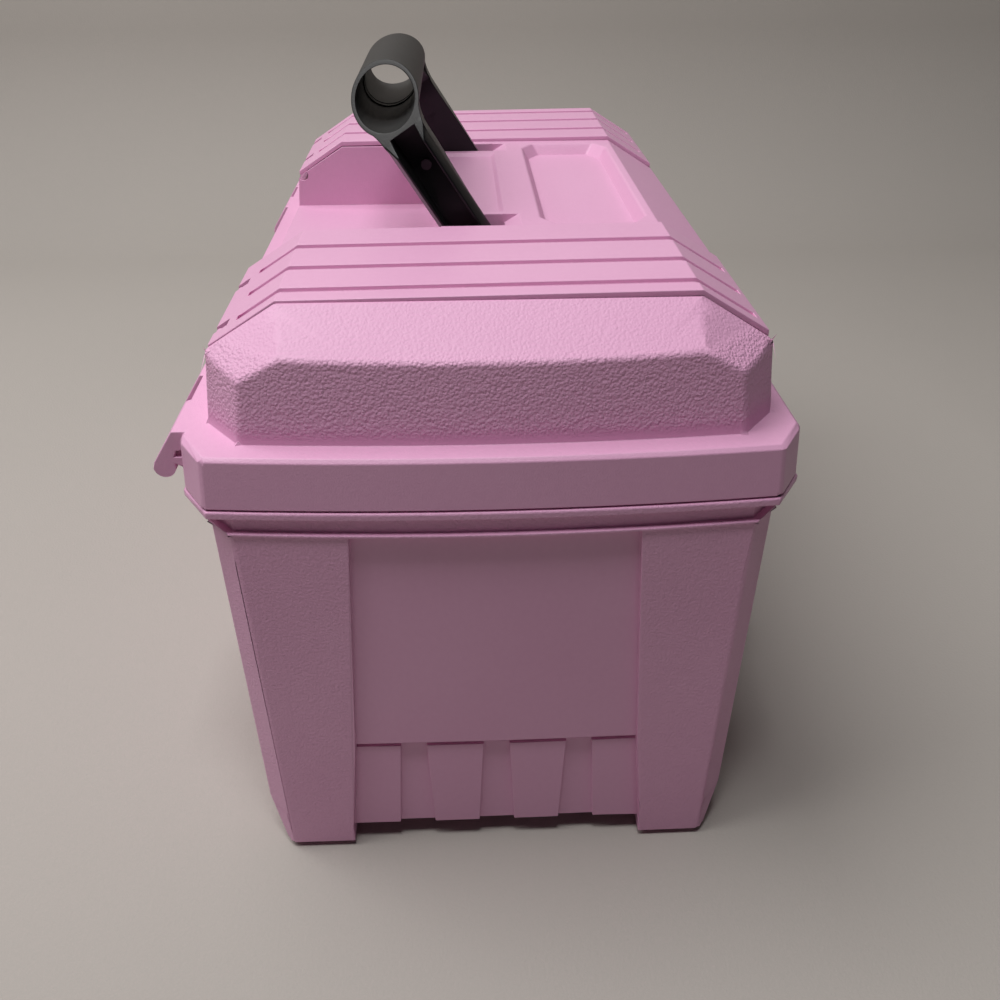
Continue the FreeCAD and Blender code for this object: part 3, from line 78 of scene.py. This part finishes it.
class Value:
    """One output socket of a shader graph that can be used in arithmetic."""

    def __init__(self, graph: "Graph", socket: bpy.types.NodeSocket) -> None:
        """Keeps the socket and the graph it belongs to."""
        self.graph = graph
        self.socket = socket

    def _math(self, operation: str, first: Number, second: Number = 0.0) -> "Value":
        """Adds one Math node."""
        node = self.graph.node(
            "ShaderNodeMath", {"operation": operation}, {0: first, 1: second}
        )
        return Value(self.graph, node.outputs[0])

    def __add__(self, other: Number) -> "Value":
        """Sum."""
        return self._math("ADD", self, other)

    __radd__ = __add__

    def __sub__(self, other: Number) -> "Value":
        """Difference."""
        return self._math("SUBTRACT", self, other)

    def __rsub__(self, other: Number) -> "Value":
        """Reflected difference."""
        return self._math("SUBTRACT", other, self)

    def __mul__(self, other: Number) -> "Value":
        """Product."""
        return self._math("MULTIPLY", self, other)

    __rmul__ = __mul__

    def __truediv__(self, other: Number) -> "Value":
        """Quotient."""
        return self._math("DIVIDE", self, other)

    def __rtruediv__(self, other: Number) -> "Value":
        """Reflected quotient."""
        return self._math("DIVIDE", other, self)

    def __pow__(self, other: Number) -> "Value":
        """Power."""
        return self._math("POWER", self, other)

    def __rpow__(self, other: Number) -> "Value":
        """Reflected power."""
        return self._math("POWER", other, self)

    def __abs__(self) -> "Value":
        """Size without sign."""
        return self._math("ABSOLUTE", self)


class Graph:
    """The node graph of one material."""

    def __init__(self, material: bpy.types.Material) -> None:
        """Empties the material's graph and adds its output."""
        material.use_nodes = True
        self.tree = material.node_tree
        self.tree.nodes.clear()
        self.output = self.node("ShaderNodeOutputMaterial", {}, {})
        place = self.node("ShaderNodeTexCoord", {}, {})
        self.place = Value(self, place.outputs["Object"])

    def node(
        self, kind: str, settings: dict[str, Any], inputs: dict[Any, Any]
    ) -> bpy.types.Node:
        """Adds a node.

        Args:
            kind: the node's type.
            settings: its own settings, which are set first.
            inputs: a number, colour or Value for each socket that isn't left alone.

        Returns:
            The new node.
        """
        node = self.tree.nodes.new(kind)
        for name, setting in settings.items():
            setattr(node, name, setting)
        for name, value in inputs.items():
            if isinstance(value, Value):
                self.tree.links.new(value.socket, node.inputs[name])
            elif isinstance(value, tuple) and len(value) == 3:
                socket = node.inputs[name]
                whole = len(socket.default_value)
                socket.default_value = (*value, 1.0)[:whole]
            else:
                node.inputs[name].default_value = value
        return node

    def axes(self) -> tuple[Value, Value, Value]:
        """The X, Y and Z of the shaded point, in metres."""
        node = self.node("ShaderNodeSeparateXYZ", {}, {0: self.place})
        return tuple(Value(self, out) for out in node.outputs)

    def noise(
        self,
        scale: float,
        detail: float = 2.0,
        rough: float = 0.5,
        where: Optional[Value] = None,
    ) -> Value:
        """Soft noise from 0 to 1 whose features are about 1 / scale metres.

        Args:
            scale: features per metre.
            detail: how many finer layers lie on the first.
            rough: how strong the finer layers are.
            where: the place it is read at, the shaded point if left out.

        Returns:
            The noise.
        """
        node = self.node(
            "ShaderNodeTexNoise",
            {"noise_dimensions": "3D"},
            {
                "Vector": where or self.place,
                "Scale": scale,
                "Detail": detail,
                "Roughness": rough,
            },
        )
        return Value(self, node.outputs[0])

    def cells(self, scale: float, smooth: float, where: Value) -> Value:
        """Rounded cells: the distance to the nearest cell centre."""
        node = self.node(
            "ShaderNodeTexVoronoi",
            {"feature": "SMOOTH_F1"},
            {"Vector": where, "Scale": scale, "Smoothness": smooth},
        )
        return Value(self, node.outputs["Distance"])

    def warped(self, scale: float, amount: float) -> Value:
        """The shaded point moved about by noise, so that a pattern loses its order."""
        noise = self.node(
            "ShaderNodeTexNoise",
            {},
            {"Vector": self.place, "Scale": scale, "Detail": 1.0},
        )
        shift = self.node(
            "ShaderNodeVectorMath",
            {"operation": "SCALE"},
            {0: Value(self, noise.outputs["Color"]), "Scale": amount},
        )
        moved = self.node(
            "ShaderNodeVectorMath",
            {"operation": "ADD"},
            {0: self.place, 1: Value(self, shift.outputs[0])},
        )
        return Value(self, moved.outputs[0])

    def step(self, value: Value, low: float, high: float) -> Value:
        """0 at low and 1 at high, with a smooth change between them."""
        node = self.node(
            "ShaderNodeMapRange",
            {"interpolation_type": "SMOOTHSTEP"},
            {"Value": value, "From Min": low, "From Max": high},
        )
        return Value(self, node.outputs[0])

    def blend(self, share: Number, first: Any, second: Any) -> Value:
        """A colour between two, the second where share is 1."""
        node = self.node(
            "ShaderNodeMix", {"data_type": "RGBA"}, {0: share, 6: first, 7: second}
        )
        return Value(self, node.outputs[2])

    def bump(self, height: Value, strength: float, depth: float) -> Value:
        """A normal from a height that spans depth metres."""
        node = self.node(
            "ShaderNodeBump",
            {},
            {"Height": height, "Strength": strength, "Distance": depth},
        )
        return Value(self, node.outputs[0])

    def surface(self, **inputs: Any) -> None:
        """Finishes the material with a Principled shader."""
        named = {name.replace("_", " "): value for name, value in inputs.items()}
        shader = self.node("ShaderNodeBsdfPrincipled", {}, named)
        self.tree.links.new(shader.outputs[0], self.output.inputs[0])


@dataclass(frozen=True)
class Plastic:
    """What all pink and frosted mouldings share: two close shades and a fine relief."""

    name: str
    colour: Colour
    second: Colour
    roughness: float
    cloud_scale: float = 9.0
    speck_scale: float = 420.0
    cloud_share: float = 0.7
    speck_share: float = 0.3
    tone_shift: float = 0.2
    tone_gain: float = 1.4
    gloss_spread: float = 0.10
    relief_depth: float = 0.00022
    smear_scale: float = 60.0
    grain_rough: float = 0.6

    def material(self) -> bpy.types.Material:
        """Makes the material.

        Returns:
            The new material.
        """
        material = bpy.data.materials.new(self.name)
        graph = Graph(material)
        cloud = graph.noise(self.cloud_scale, 3.0)
        speck = graph.noise(self.speck_scale, 2.0)
        height, rough = self.relief(graph)
        tone = cloud * self.cloud_share + speck * self.speck_share - self.tone_shift
        graph.surface(
            Base_Color=graph.blend(tone * self.tone_gain, self.colour, self.second),
            Roughness=rough + (cloud - 0.5) * self.gloss_spread,
            Normal=graph.bump(height, 1.0, self.relief_depth),
        )
        return material

    def relief(self, graph: Graph) -> tuple[Value, Value]:
        """The height of the grain and the roughness that goes with it."""
        raise NotImplementedError


@dataclass(frozen=True)
class EvenPlastic(Plastic):
    """A moulding with one grain all over."""

    grain: Grain = Grain.SATIN
    wave_scale: float = 30.0
    wave_share: float = 0.25
    smear: float = 0.08

    def relief(self, graph: Graph) -> tuple[Value, Value]:
        """One even grain over slow waves."""
        scale, share = self.grain.value
        height = graph.noise(scale, 2.0, self.grain_rough) * share
        height = height + graph.noise(self.wave_scale, 1.0) * self.wave_share
        rough = graph.noise(self.smear_scale, 2.0) * self.smear
        return height, rough + (self.roughness - self.smear / 2)


@dataclass(frozen=True)
class LidPlastic(Plastic):
    """The lid's finish: coarse pebbles on its raised ends, fine grain on the rest."""

    end: Span = (0.1665, 0.1705)
    raised: Span = (0.1960, 0.2010)
    steep: Span = (0.2265, 0.2235)
    crinkle_scale: float = 1050.0
    pebble_scale: float = 820.0
    pebble_smooth: float = 0.35
    warp: Span = (700.0, 0.0004)
    coarse_share: float = 1.6
    slope_share: float = 0.40
    wall_share: float = 0.65
    fine_scale: float = 1500.0
    fine_share: float = 0.45
    wave_scale: float = 26.0
    wave_share: float = 0.25
    coarse_dull: float = 0.08
    smear: float = 0.06

    def relief(self, graph: Graph) -> tuple[Value, Value]:
        """Pebbles that are strongest on the end walls and weaker on the slopes."""
        x, _, z = graph.axes()
        coarse = graph.step(abs(x), *self.end) * graph.step(z, *self.raised)
        crinkle = graph.noise(self.crinkle_scale, 1.5)
        pebble = 1 - graph.cells(
            self.pebble_scale, self.pebble_smooth, graph.warped(*self.warp)
        )
        fine = graph.noise(self.fine_scale, 2.0, self.grain_rough)
        wall = graph.step(z, *self.steep)
        strong = coarse * (self.slope_share + self.wall_share * wall)
        height = (crinkle * self.coarse_share + pebble * self.coarse_share) * strong
        height = height + fine * self.fine_share * (1 - coarse * 0.5)
        height = height + graph.noise(self.wave_scale, 1.0) * self.wave_share
        rough = self.roughness + coarse * self.coarse_dull
        return height, rough + graph.noise(self.smear_scale, 2.0) * self.smear


@dataclass(frozen=True)
class TubPlastic(Plastic):
    """The tub's finish: grained posts and rim, smooth sunken panels."""

    panel_low: float = 0.010
    panel_top: float = 0.1644
    half_low: float = 0.0623
    half_top: float = 0.0520
    end: Span = (0.15, 0.16)
    border: Span = (-0.0002, 0.0006)
    crinkle_scale: float = 900.0
    crinkle_share: float = 1.15
    fine_scale: float = 1600.0
    fine_share: float = 0.40
    fine_lost: float = 0.30
    wave_scale: float = 22.0
    wave_share: float = 0.30
    panel_gloss: float = 0.07
    smear: float = 0.06

    def relief(self, graph: Graph) -> tuple[Value, Value]:
        """Grain on the posts, fading out on the sunken panels of the ends."""
        x, y, z = graph.axes()
        share = (z - self.panel_low) / (self.panel_top - self.panel_low)
        half = self.half_low + share * (self.half_top - self.half_low)
        inside = graph.step(half - abs(y), *self.border)
        below = graph.step(self.panel_top - z, *self.border)
        panel = inside * below * graph.step(abs(x), *self.end)
        crinkle = graph.noise(self.crinkle_scale, 1.5)
        fine = graph.noise(self.fine_scale, 2.0, self.grain_rough)
        height = crinkle * self.crinkle_share * (1 - panel)
        height = height + fine * (self.fine_share - self.fine_lost * panel)
        height = height + graph.noise(self.wave_scale, 1.0) * self.wave_share
        rough = self.roughness - panel * self.panel_gloss
        return height, rough + graph.noise(self.smear_scale, 2.0) * self.smear


@dataclass(frozen=True)
class GripPlastic:
    """The handle's finish: satin black arms, a greyer matt tube."""

    name: str
    arm: Colour
    tube: Colour
    tube_y: float
    tube_z: float
    tube_radius: float
    border: Span = (0.0025, 0.0002)
    scuff: Span = (0.60, 0.74)
    scuff_scale: float = 190.0
    scuff_share: float = 0.10
    cloud_scale: float = 14.0
    cloud_share: float = 0.06
    worn_grey: Colour = (0.15, 0.15, 0.155)
    arm_wear: float = 0.3
    arm_rough: float = 0.36
    tube_duller: float = 0.14
    gloss_spread: float = 0.12
    scuff_dull: float = 0.08
    specular: float = 0.34
    grain_scale: float = 1300.0
    wave_scale: float = 40.0
    relief_depth: float = 0.00016

    def material(self) -> bpy.types.Material:
        """Makes the material.

        Returns:
            The new material.
        """
        material = bpy.data.materials.new(self.name)
        graph = Graph(material)
        _, y, z = graph.axes()
        away_y = y - self.tube_y
        away_z = z - self.tube_z
        away = (away_y * away_y + away_z * away_z) ** 0.5
        outer, inner = self.border
        tube = graph.step(away, self.tube_radius + outer, self.tube_radius + inner)
        cloud = graph.noise(self.cloud_scale, 3.0)
        scuff = graph.step(graph.noise(self.scuff_scale, 4.0, 0.7), *self.scuff)
        wear = scuff * self.scuff_share + cloud * self.cloud_share
        wear = wear * (self.arm_wear + (1.0 - self.arm_wear) * tube)
        rough = self.arm_rough + self.tube_duller * tube
        rough = rough + (cloud - 0.5) * self.gloss_spread + scuff * self.scuff_dull
        height = graph.noise(self.grain_scale, 2.0, 0.6) * (0.22 + 0.3 * tube)
        height = height + graph.noise(self.wave_scale, 1.0) * 0.2
        base = graph.blend(tube, self.arm, self.tube)
        graph.surface(
            Base_Color=graph.blend(wear, base, self.worn_grey),
            Roughness=rough,
            Specular_IOR_Level=self.specular,
            Normal=graph.bump(height, 1.0, self.relief_depth),
        )
        return material


@dataclass(frozen=True)
class Wire:
    """Drawn steel wire with fine lines along it."""

    name: str
    colour: Colour
    line_colour: Colour = (0.42, 0.42, 0.44)
    stretch: Colour = (40.0, 2600.0, 2600.0)
    roughness: float = 0.26
    line_dull: float = 0.2
    line_depth: float = 0.00004

    def material(self) -> bpy.types.Material:
        """Makes the material.

        Returns:
            The new material.
        """
        material = bpy.data.materials.new(self.name)
        graph = Graph(material)
        stretch = graph.node(
            "ShaderNodeMapping", {}, {"Vector": graph.place, "Scale": self.stretch}
        )
        line = graph.noise(1.0, 2.0, 0.6, Value(graph, stretch.outputs[0]))
        graph.surface(
            Base_Color=graph.blend(line, self.colour, self.line_colour),
            Metallic=1.0,
            Roughness=self.roughness + line * self.line_dull,
            Normal=graph.bump(line, 0.6, self.line_depth),
        )
        return material


@dataclass(frozen=True)
class Zone:
    """A region of the box, the same at both ends and, unless one_sided, front and back."""

    x: Span = (-FAR, FAR)
    y: Span = (-FAR, FAR)
    z: Span = (-FAR, FAR)
    one_sided: bool = False

    def holds(self, at: Vector) -> bool:
        """Whether a point lies in it."""
        across = at.y if self.one_sided else abs(at.y)
        return (
            self.x[0] < abs(at.x) < self.x[1]
            and self.y[0] < across < self.y[1]
            and self.z[0] < at.z < self.z[1]
        )


def in_any(*zones: Zone) -> Callable[[Vector], bool]:
    """A test for points that lie in at least one of the zones."""
    return lambda at: any(zone.holds(at) for zone in zones)


def in_none(*zones: Zone) -> Callable[[Vector], bool]:
    """A test for points that lie in none of the zones."""
    return lambda at: not any(zone.holds(at) for zone in zones)


@dataclass(frozen=True)
class Rounding:
    """One pass of edge rounding: how wide, in how many steps, and on which edges."""

    width: float
    segments: int = 3
    shortest: float = 0.0012
    where: Optional[Callable[[Vector], bool]] = None
    sharp: float = 24.0

    def takes(self, edge: bmesh.types.BMEdge) -> bool:
        """Whether this pass rounds an edge."""
        if len(edge.link_faces) != 2 or edge.calc_length() < self.shortest:
            return False
        if edge.calc_face_angle(0.0) < math.radians(self.sharp):
            return False
        middle = (edge.verts[0].co + edge.verts[1].co) / 2
        return self.where is None or self.where(middle)

    def apply(self, shape: bmesh.types.BMesh) -> int:
        """Rounds the edges it takes.

        Args:
            shape: the mesh, which is changed.

        Returns:
            How many edges were rounded.
        """
        edges = [edge for edge in shape.edges if self.takes(edge)]
        bmesh.ops.bevel(
            shape,
            geom=edges,
            offset=self.width,
            offset_type="OFFSET",
            segments=self.segments,
            profile=0.5,
            affect="EDGES",
            clamp_overlap=False,
            material=-1,
            loop_slide=False,
        )
        return len(edges)


@dataclass
class Moulding:
    """A CAD node with its edges rounded as a mould leaves them."""

    node: str
    piece: str
    body: str
    slot: str
    passes: Sequence[Rounding]

    def build(self, material: bpy.types.Material) -> bpy.types.Object:
        """Builds the piece, which then stands for the node.

        Args:
            material: what it is dressed in.

        Returns:
            The new piece.
        """
        shape = bmesh.new()
        shape.from_mesh(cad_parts[self.node].data)
        bmesh.ops.remove_doubles(shape, verts=shape.verts, dist=MERGE_DISTANCE)
        bmesh.ops.dissolve_degenerate(shape, edges=shape.edges, dist=FLAT_DISTANCE)
        for rounding in self.passes:
            rounded = rounding.apply(shape)
            width = rounding.width * 1000
            log.info("%s: %d edges rounded by %.1f mm", self.piece, rounded, width)
        bmesh.ops.dissolve_degenerate(shape, edges=shape.edges, dist=FLAT_DISTANCE)
        wide = [face for face in shape.faces if len(face.verts) > 4]
        bmesh.ops.triangulate(shape, faces=wide)
        for face in shape.faces:
            face.smooth = True
        for edge in shape.edges:
            edge.smooth = not self.creased(edge)
        mesh = bpy.data.meshes.new(self.piece)
        shape.to_mesh(mesh)
        shape.free()
        mesh.materials.clear()
        mesh.materials.append(material)
        piece = bpy.data.objects.new(self.piece, mesh)
        bpy.context.scene.collection.objects.link(piece)
        self.smooth_over(piece)
        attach(piece, self.body)
        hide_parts(self.node)
        return piece

    @staticmethod
    def creased(edge: bmesh.types.BMEdge) -> bool:
        """Whether an edge stays hard to the eye."""
        if len(edge.link_faces) != 2:
            return True
        return edge.calc_face_angle(0.0) > math.radians(CREASE_DEGREES)

    @staticmethod
    def smooth_over(piece: bpy.types.Object) -> None:
        """Gives wide faces the say in the normals, so that rounded edges shade well."""
        weigh = piece.modifiers.new("face_weight", "WEIGHTED_NORMAL")
        weigh.keep_sharp = True
        weigh.weight = FACE_WEIGHT


@dataclass
class Tub:
    """The lower tub."""

    corner_width: float = 0.0014
    corner_shortest: float = 0.004
    corners: Zone = Zone(x=(0.186, FAR), y=(0.083, FAR), z=(0.004, 0.163))
    lip_width: float = 0.0007
    lip_shortest: float = 0.001
    lip_height: float = 0.1745
    lip_band: float = 0.0003
    lip_end: float = 0.2035
    lip_side: float = 0.109
    lip_cut: tuple[float, float, float] = (0.205, 0.112, 1.75)
    edge_width: float = 0.0003

    def on_lip(self, at: Vector) -> bool:
        """Whether a point is on the upper outer edge of the rim."""
        x, y = abs(at.x), abs(at.y)
        length, depth, reach = self.lip_cut
        outer = x > self.lip_end or y > self.lip_side or x / length + y / depth > reach
        return abs(at.z - self.lip_height) < self.lip_band and outer

    def build(self, finishes: Finishes) -> bpy.types.Object:
        """Builds the tub."""
        passes = (
            Rounding(self.corner_width, 4, self.corner_shortest, self.corners.holds),
            Rounding(self.lip_width, 3, self.lip_shortest, self.on_lip),
            Rounding(self.edge_width),
        )
        tub = Moulding("base_tub", "tub_moulding", "base", "shell_pink", passes)
        return tub.build(finishes["tub_plastic"])


COVER_HINGES = Zone(
    x=(0.100, 0.166), y=(0.0900, FAR), z=(0.2080, 0.2300), one_sided=True
)


@dataclass
class Lid:
    """The lid with its flange, raised ends, handle well and front recess."""

    body_width: float = 0.0016
    body_shortest: float = 0.003
    end_walls: Zone = Zone(x=(0.1715, FAR), z=(0.1955, 0.2330))
    end_corners: Zone = Zone(x=(0.170, FAR), y=(0.0995, FAR), z=(0.1955, 0.2330))
    flange_corners: Zone = Zone(x=(0.183, FAR), y=(0.094, FAR), z=(0.1755, 0.1925))
    recess_width: float = 0.0009
    recess_shortest: float = 0.003
    recess_rim: Zone = Zone(
        x=(-FAR, 0.0785), y=(-0.0718, -0.0242), z=(0.2312, FAR), one_sided=True
    )
    edge_width: float = 0.0004
    seam_corners: Zone = Zone(x=(0.164, 0.176), y=(0.070, 0.090), z=(0.2270, FAR))

    def build(self, finishes: Finishes) -> bpy.types.Object:
        """Builds the lid."""
        soft = in_any(self.end_walls, self.end_corners, self.flange_corners)
        rest = in_none(self.seam_corners, COVER_HINGES)
        passes = (
            Rounding(self.body_width, 4, self.body_shortest, soft),
            Rounding(self.recess_width, 3, self.recess_shortest, self.recess_rim.holds),
            Rounding(self.edge_width, where=rest),
        )
        lid = Moulding("lid_shell", "lid_moulding", "lid", "shell_pink", passes)
        return lid.build(finishes["lid_plastic"])


@dataclass
class Handle:
    """The grip and its two arms, left unrounded at the pivots."""

    rim_width: float = 0.0005
    rim_shortest: float = 0.0006
    above_pivots: Zone = Zone(z=(0.2260, FAR))

    def build(self, finishes: Finishes) -> bpy.types.Object:
        """Builds the handle."""
        rims = Rounding(self.rim_width, 3, self.rim_shortest, self.above_pivots.holds)
        handle = Moulding(
            "carry_handle", "handle_moulding", "handle", "handle_black", (rims,)
        )
        return handle.build(finishes["grip_plastic"])


@dataclass
class Tray:
    """The lift-out tray."""

    edge_width: float = 0.0003

    def build(self, finishes: Finishes) -> bpy.types.Object:
        """Builds the tray."""
        passes = (Rounding(self.edge_width),)
        tray = Moulding("lift_out_tray", "tray_moulding", "tray", "tray_pink", passes)
        return tray.build(finishes["tray_plastic"])


@dataclass
class BinCover:
    """The grooved cover of one bin, left unrounded at its hinge."""

    side: Side
    edge_width: float = 0.0004

    def build(self, finishes: Finishes) -> bpy.types.Object:
        """Builds the cover."""
        side = self.side.value
        edges = Rounding(self.edge_width, where=in_none(COVER_HINGES))
        cover = Moulding(
            f"bin_cover_{side}",
            f"cover_moulding_{side}",
            f"cover_{side}",
            "cover_pink",
            (edges,),
        )
        return cover.build(finishes["cover_plastic"])


@dataclass
class FrontLatch:
    """One latch on the front."""

    side: Side
    edge_width: float = 0.0003

    def build(self, finishes: Finishes) -> bpy.types.Object:
        """Builds the latch."""
        side = self.side.value
        latch = Moulding(
            f"front_latch_{side}",
            f"latch_moulding_{side}",
            f"latch_{side}",
            "cover_pink",
            (Rounding(self.edge_width),),
        )
        return latch.build(finishes["cover_plastic"])


@dataclass
class Fittings:
    """Pins and dividers, which keep their CAD meshes."""

    pin_finish: str = "hinge_wire"
    divider_finish: str = "divider_plastic"

    def dress(self, finishes: Finishes) -> None:
        """Puts their finishes on the pins and dividers."""
        for name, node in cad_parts.items():
            if name.endswith(("pin_left", "pin_right")):
                finish = self.pin_finish
            elif "divider" in name:
                finish = self.divider_finish
            else:
                continue
            node.data.materials.clear()
            node.data.materials.append(finishes[finish])
            log.info("%s: %s", name, finish)


@dataclass
class Palette:
    """The box's colours, and the finishes made from them."""

    pink: Colour = (0.78, 0.425, 0.625)
    pink_deep: Colour = (0.70, 0.345, 0.545)
    tray_pink: Colour = (0.84, 0.50, 0.68)
    tray_deep: Colour = (0.76, 0.42, 0.60)
    frost: Colour = (0.80, 0.74, 0.78)
    frost_deep: Colour = (0.72, 0.66, 0.71)
    black: Colour = (0.005, 0.005, 0.0055)
    grey_tube: Colour = (0.022, 0.0215, 0.021)
    steel: Colour = (0.62, 0.62, 0.64)
    tube_radius: float = 0.0146

    def finishes(self) -> Finishes:
        """Makes every material once, under its own name."""
        pinks = (self.pink, self.pink_deep)
        tray = (self.tray_pink, self.tray_deep)
        frost = (self.frost, self.frost_deep)
        made = [
            LidPlastic("lid_plastic", *pinks, 0.44),
            TubPlastic("tub_plastic", *pinks, 0.46),
            EvenPlastic("cover_plastic", *pinks, 0.38, grain=Grain.FINE),
            EvenPlastic("tray_plastic", *tray, 0.42, grain=Grain.SATIN),
            EvenPlastic("divider_plastic", *frost, 0.48, grain=Grain.FINE),
            GripPlastic("grip_plastic", self.black, self.grey_tube, *self.grip()),
            Wire("hinge_wire", self.steel),
        ]
        return {finish.name: finish.material() for finish in made}

    def grip(self) -> tuple[float, float, float]:
        """Where the grip's tube runs and its radius, from the handle's own box."""
        _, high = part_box("carry_handle")
        radius = self.tube_radius
        return high.y - radius, high.z - radius, radius


@dataclass(frozen=True)
class SoftLight:
    """A square light that faces the box."""

    name: str
    at: tuple[float, float, float]
    size: float
    power: float
    tint: Colour
    aim_height: float = 0.12

    def hang(self) -> None:
        """Adds the light."""
        light = bpy.data.lights.new(self.name, "AREA")
        light.size = self.size
        light.energy = self.power
        light.color = self.tint
        lamp = bpy.data.objects.new(self.name, light)
        bpy.context.scene.collection.objects.link(lamp)
        lamp.location = self.at
        aim = Vector((0.0, 0.0, self.aim_height)) - Vector(self.at)
        lamp.rotation_euler = aim.to_track_quat("-Z", "Y").to_euler()


@dataclass
class Studio:
    """Floor, backdrop, lights and camera."""

    camera_at: tuple[float, float, float] = (-0.5051, 0.0105, 0.3596)
    yaw: float = -2.3
    pitch: float = 31.3
    roll: float = -0.2
    lens: float = 36.43
    sensor: float = 36.0
    near_clip: float = 0.01
    sweep_start: float = 0.62
    sweep_radius: float = 0.22
    sweep_turn: float = 88.0
    sweep_steps: int = 24
    sweep_half: float = 2.4
    sweep_near: float = -1.6
    sweep_tall: float = 1.9
    sweep_lean: float = 0.05
    floor_colour: Colour = (0.47, 0.435, 0.40)
    floor_shade: float = 0.90
    floor_rough: float = 0.85
    weave_scale: float = 700.0
    weave_depth: float = 0.0003
    cloud_scale: float = 3.0
    key: SoftLight = SoftLight("key", (-0.05, 0.62, 1.45), 1.1, 19.5, (1.0, 0.99, 0.985))
    top: SoftLight = SoftLight("top", (-0.53, 0.02, 1.60), 0.26, 6.3, (0.99, 0.99, 1.0))
    surround_tint: Colour = (0.95, 0.96, 1.0)
    surround_strength: float = 0.025

    def build(self) -> None:
        """Builds the studio."""
        self.sweep()
        self.key.hang()
        self.top.hang()
        self.surround()
        self.camera()

    def sweep(self) -> None:
        """A pale floor that curves up into a backdrop."""
        shape = bmesh.new()
        start = shape.verts.new((self.sweep_near, -self.sweep_half, 0.0))
        turn = shape.verts.new((self.sweep_start, -self.sweep_half, 0.0))
        shape.edges.new((start, turn))
        turned = bmesh.ops.spin(
            shape,
            geom=[turn],
            cent=Vector((self.sweep_start, 0.0, self.sweep_radius)),
            axis=(0.0, -1.0, 0.0),
            angle=math.radians(self.sweep_turn),
            steps=self.sweep_steps,
        )
        last = [v for v in turned["geom_last"] if isinstance(v, bmesh.types.BMVert)][0]
        top = shape.verts.new(last.co + Vector((self.sweep_lean, 0.0, self.sweep_tall)))
        shape.edges.new((last, top))
        drawn = bmesh.ops.extrude_edge_only(shape, edges=shape.edges[:])
        moved = [v for v in drawn["geom"] if isinstance(v, bmesh.types.BMVert)]
        bmesh.ops.translate(shape, verts=moved, vec=(0.0, 2 * self.sweep_half, 0.0))
        bmesh.ops.recalc_face_normals(shape, faces=shape.faces)
        for face in shape.faces:
            face.smooth = True
        mesh = bpy.data.meshes.new("sweep")
        shape.to_mesh(mesh)
        shape.free()
        mesh.materials.append(self.cloth())
        sweep = bpy.data.objects.new("sweep", mesh)
        bpy.context.scene.collection.objects.link(sweep)

    def cloth(self) -> bpy.types.Material:
        """The matt finish of the floor and backdrop."""
        material = bpy.data.materials.new("sweep_cloth")
        graph = Graph(material)
        weave = graph.noise(self.weave_scale, 2.0)
        cloud = graph.noise(self.cloud_scale, 2.0)
        darker = tuple(self.floor_shade * c for c in self.floor_colour)
        tone = cloud * 0.6 + weave * 0.3
        graph.surface(
            Base_Color=graph.blend(tone, self.floor_colour, darker),
            Roughness=self.floor_rough,
            Normal=graph.bump(weave, 0.5, self.weave_depth),
        )
        return material

    def surround(self) -> None:
        """A dim, slightly cool light from all round."""
        world = bpy.data.worlds.new("surround")
        bpy.context.scene.world = world
        world.use_nodes = True
        sky = world.node_tree.nodes["Background"]
        sky.inputs[0].default_value = (*self.surround_tint, 1.0)
        sky.inputs[1].default_value = self.surround_strength

    def camera(self) -> None:
        """The camera at the photograph's viewing angle."""
        data = bpy.data.cameras.new("camera")
        data.sensor_width = self.sensor
        data.lens = self.lens
        data.clip_start = self.near_clip
        camera = bpy.data.objects.new("camera", data)
        bpy.context.scene.collection.objects.link(camera)
        yaw, pitch, roll = (math.radians(a) for a in (self.yaw, self.pitch, self.roll))
        across = math.cos(pitch)
        forward = Vector((across * math.cos(yaw), across * math.sin(yaw), -math.sin(pitch)))
        level = Vector((math.sin(yaw), -math.cos(yaw), 0.0))
        upright = level.cross(forward)
        right = math.cos(roll) * level + math.sin(roll) * upright
        up = math.cos(roll) * upright - math.sin(roll) * level
        columns = (right, up, -forward, Vector(self.camera_at))
        rows = [[column[i] for column in columns] for i in range(3)]
        camera.matrix_world = Matrix(rows + [[0.0, 0.0, 0.0, 1.0]])
        bpy.context.scene.camera = camera


def main() -> None:
    """Builds the box and the studio."""
    logging.basicConfig(level=logging.INFO, format="%(name)s: %(message)s")
    finishes = Palette().finishes()
    assemblies = [Tub(), Lid(), Handle(), Tray()]
    for side in Side:
        assemblies += [BinCover(side), FrontLatch(side)]
    for assembly in assemblies:
        piece = assembly.build(finishes)
        log.info("%s: %d faces", piece.name, len(piece.data.polygons))
    Fittings().dress(finishes)
    Studio().build()
    bpy.context.scene.view_settings.view_transform = "Standard"


if __name__ == "__main__":
    main()
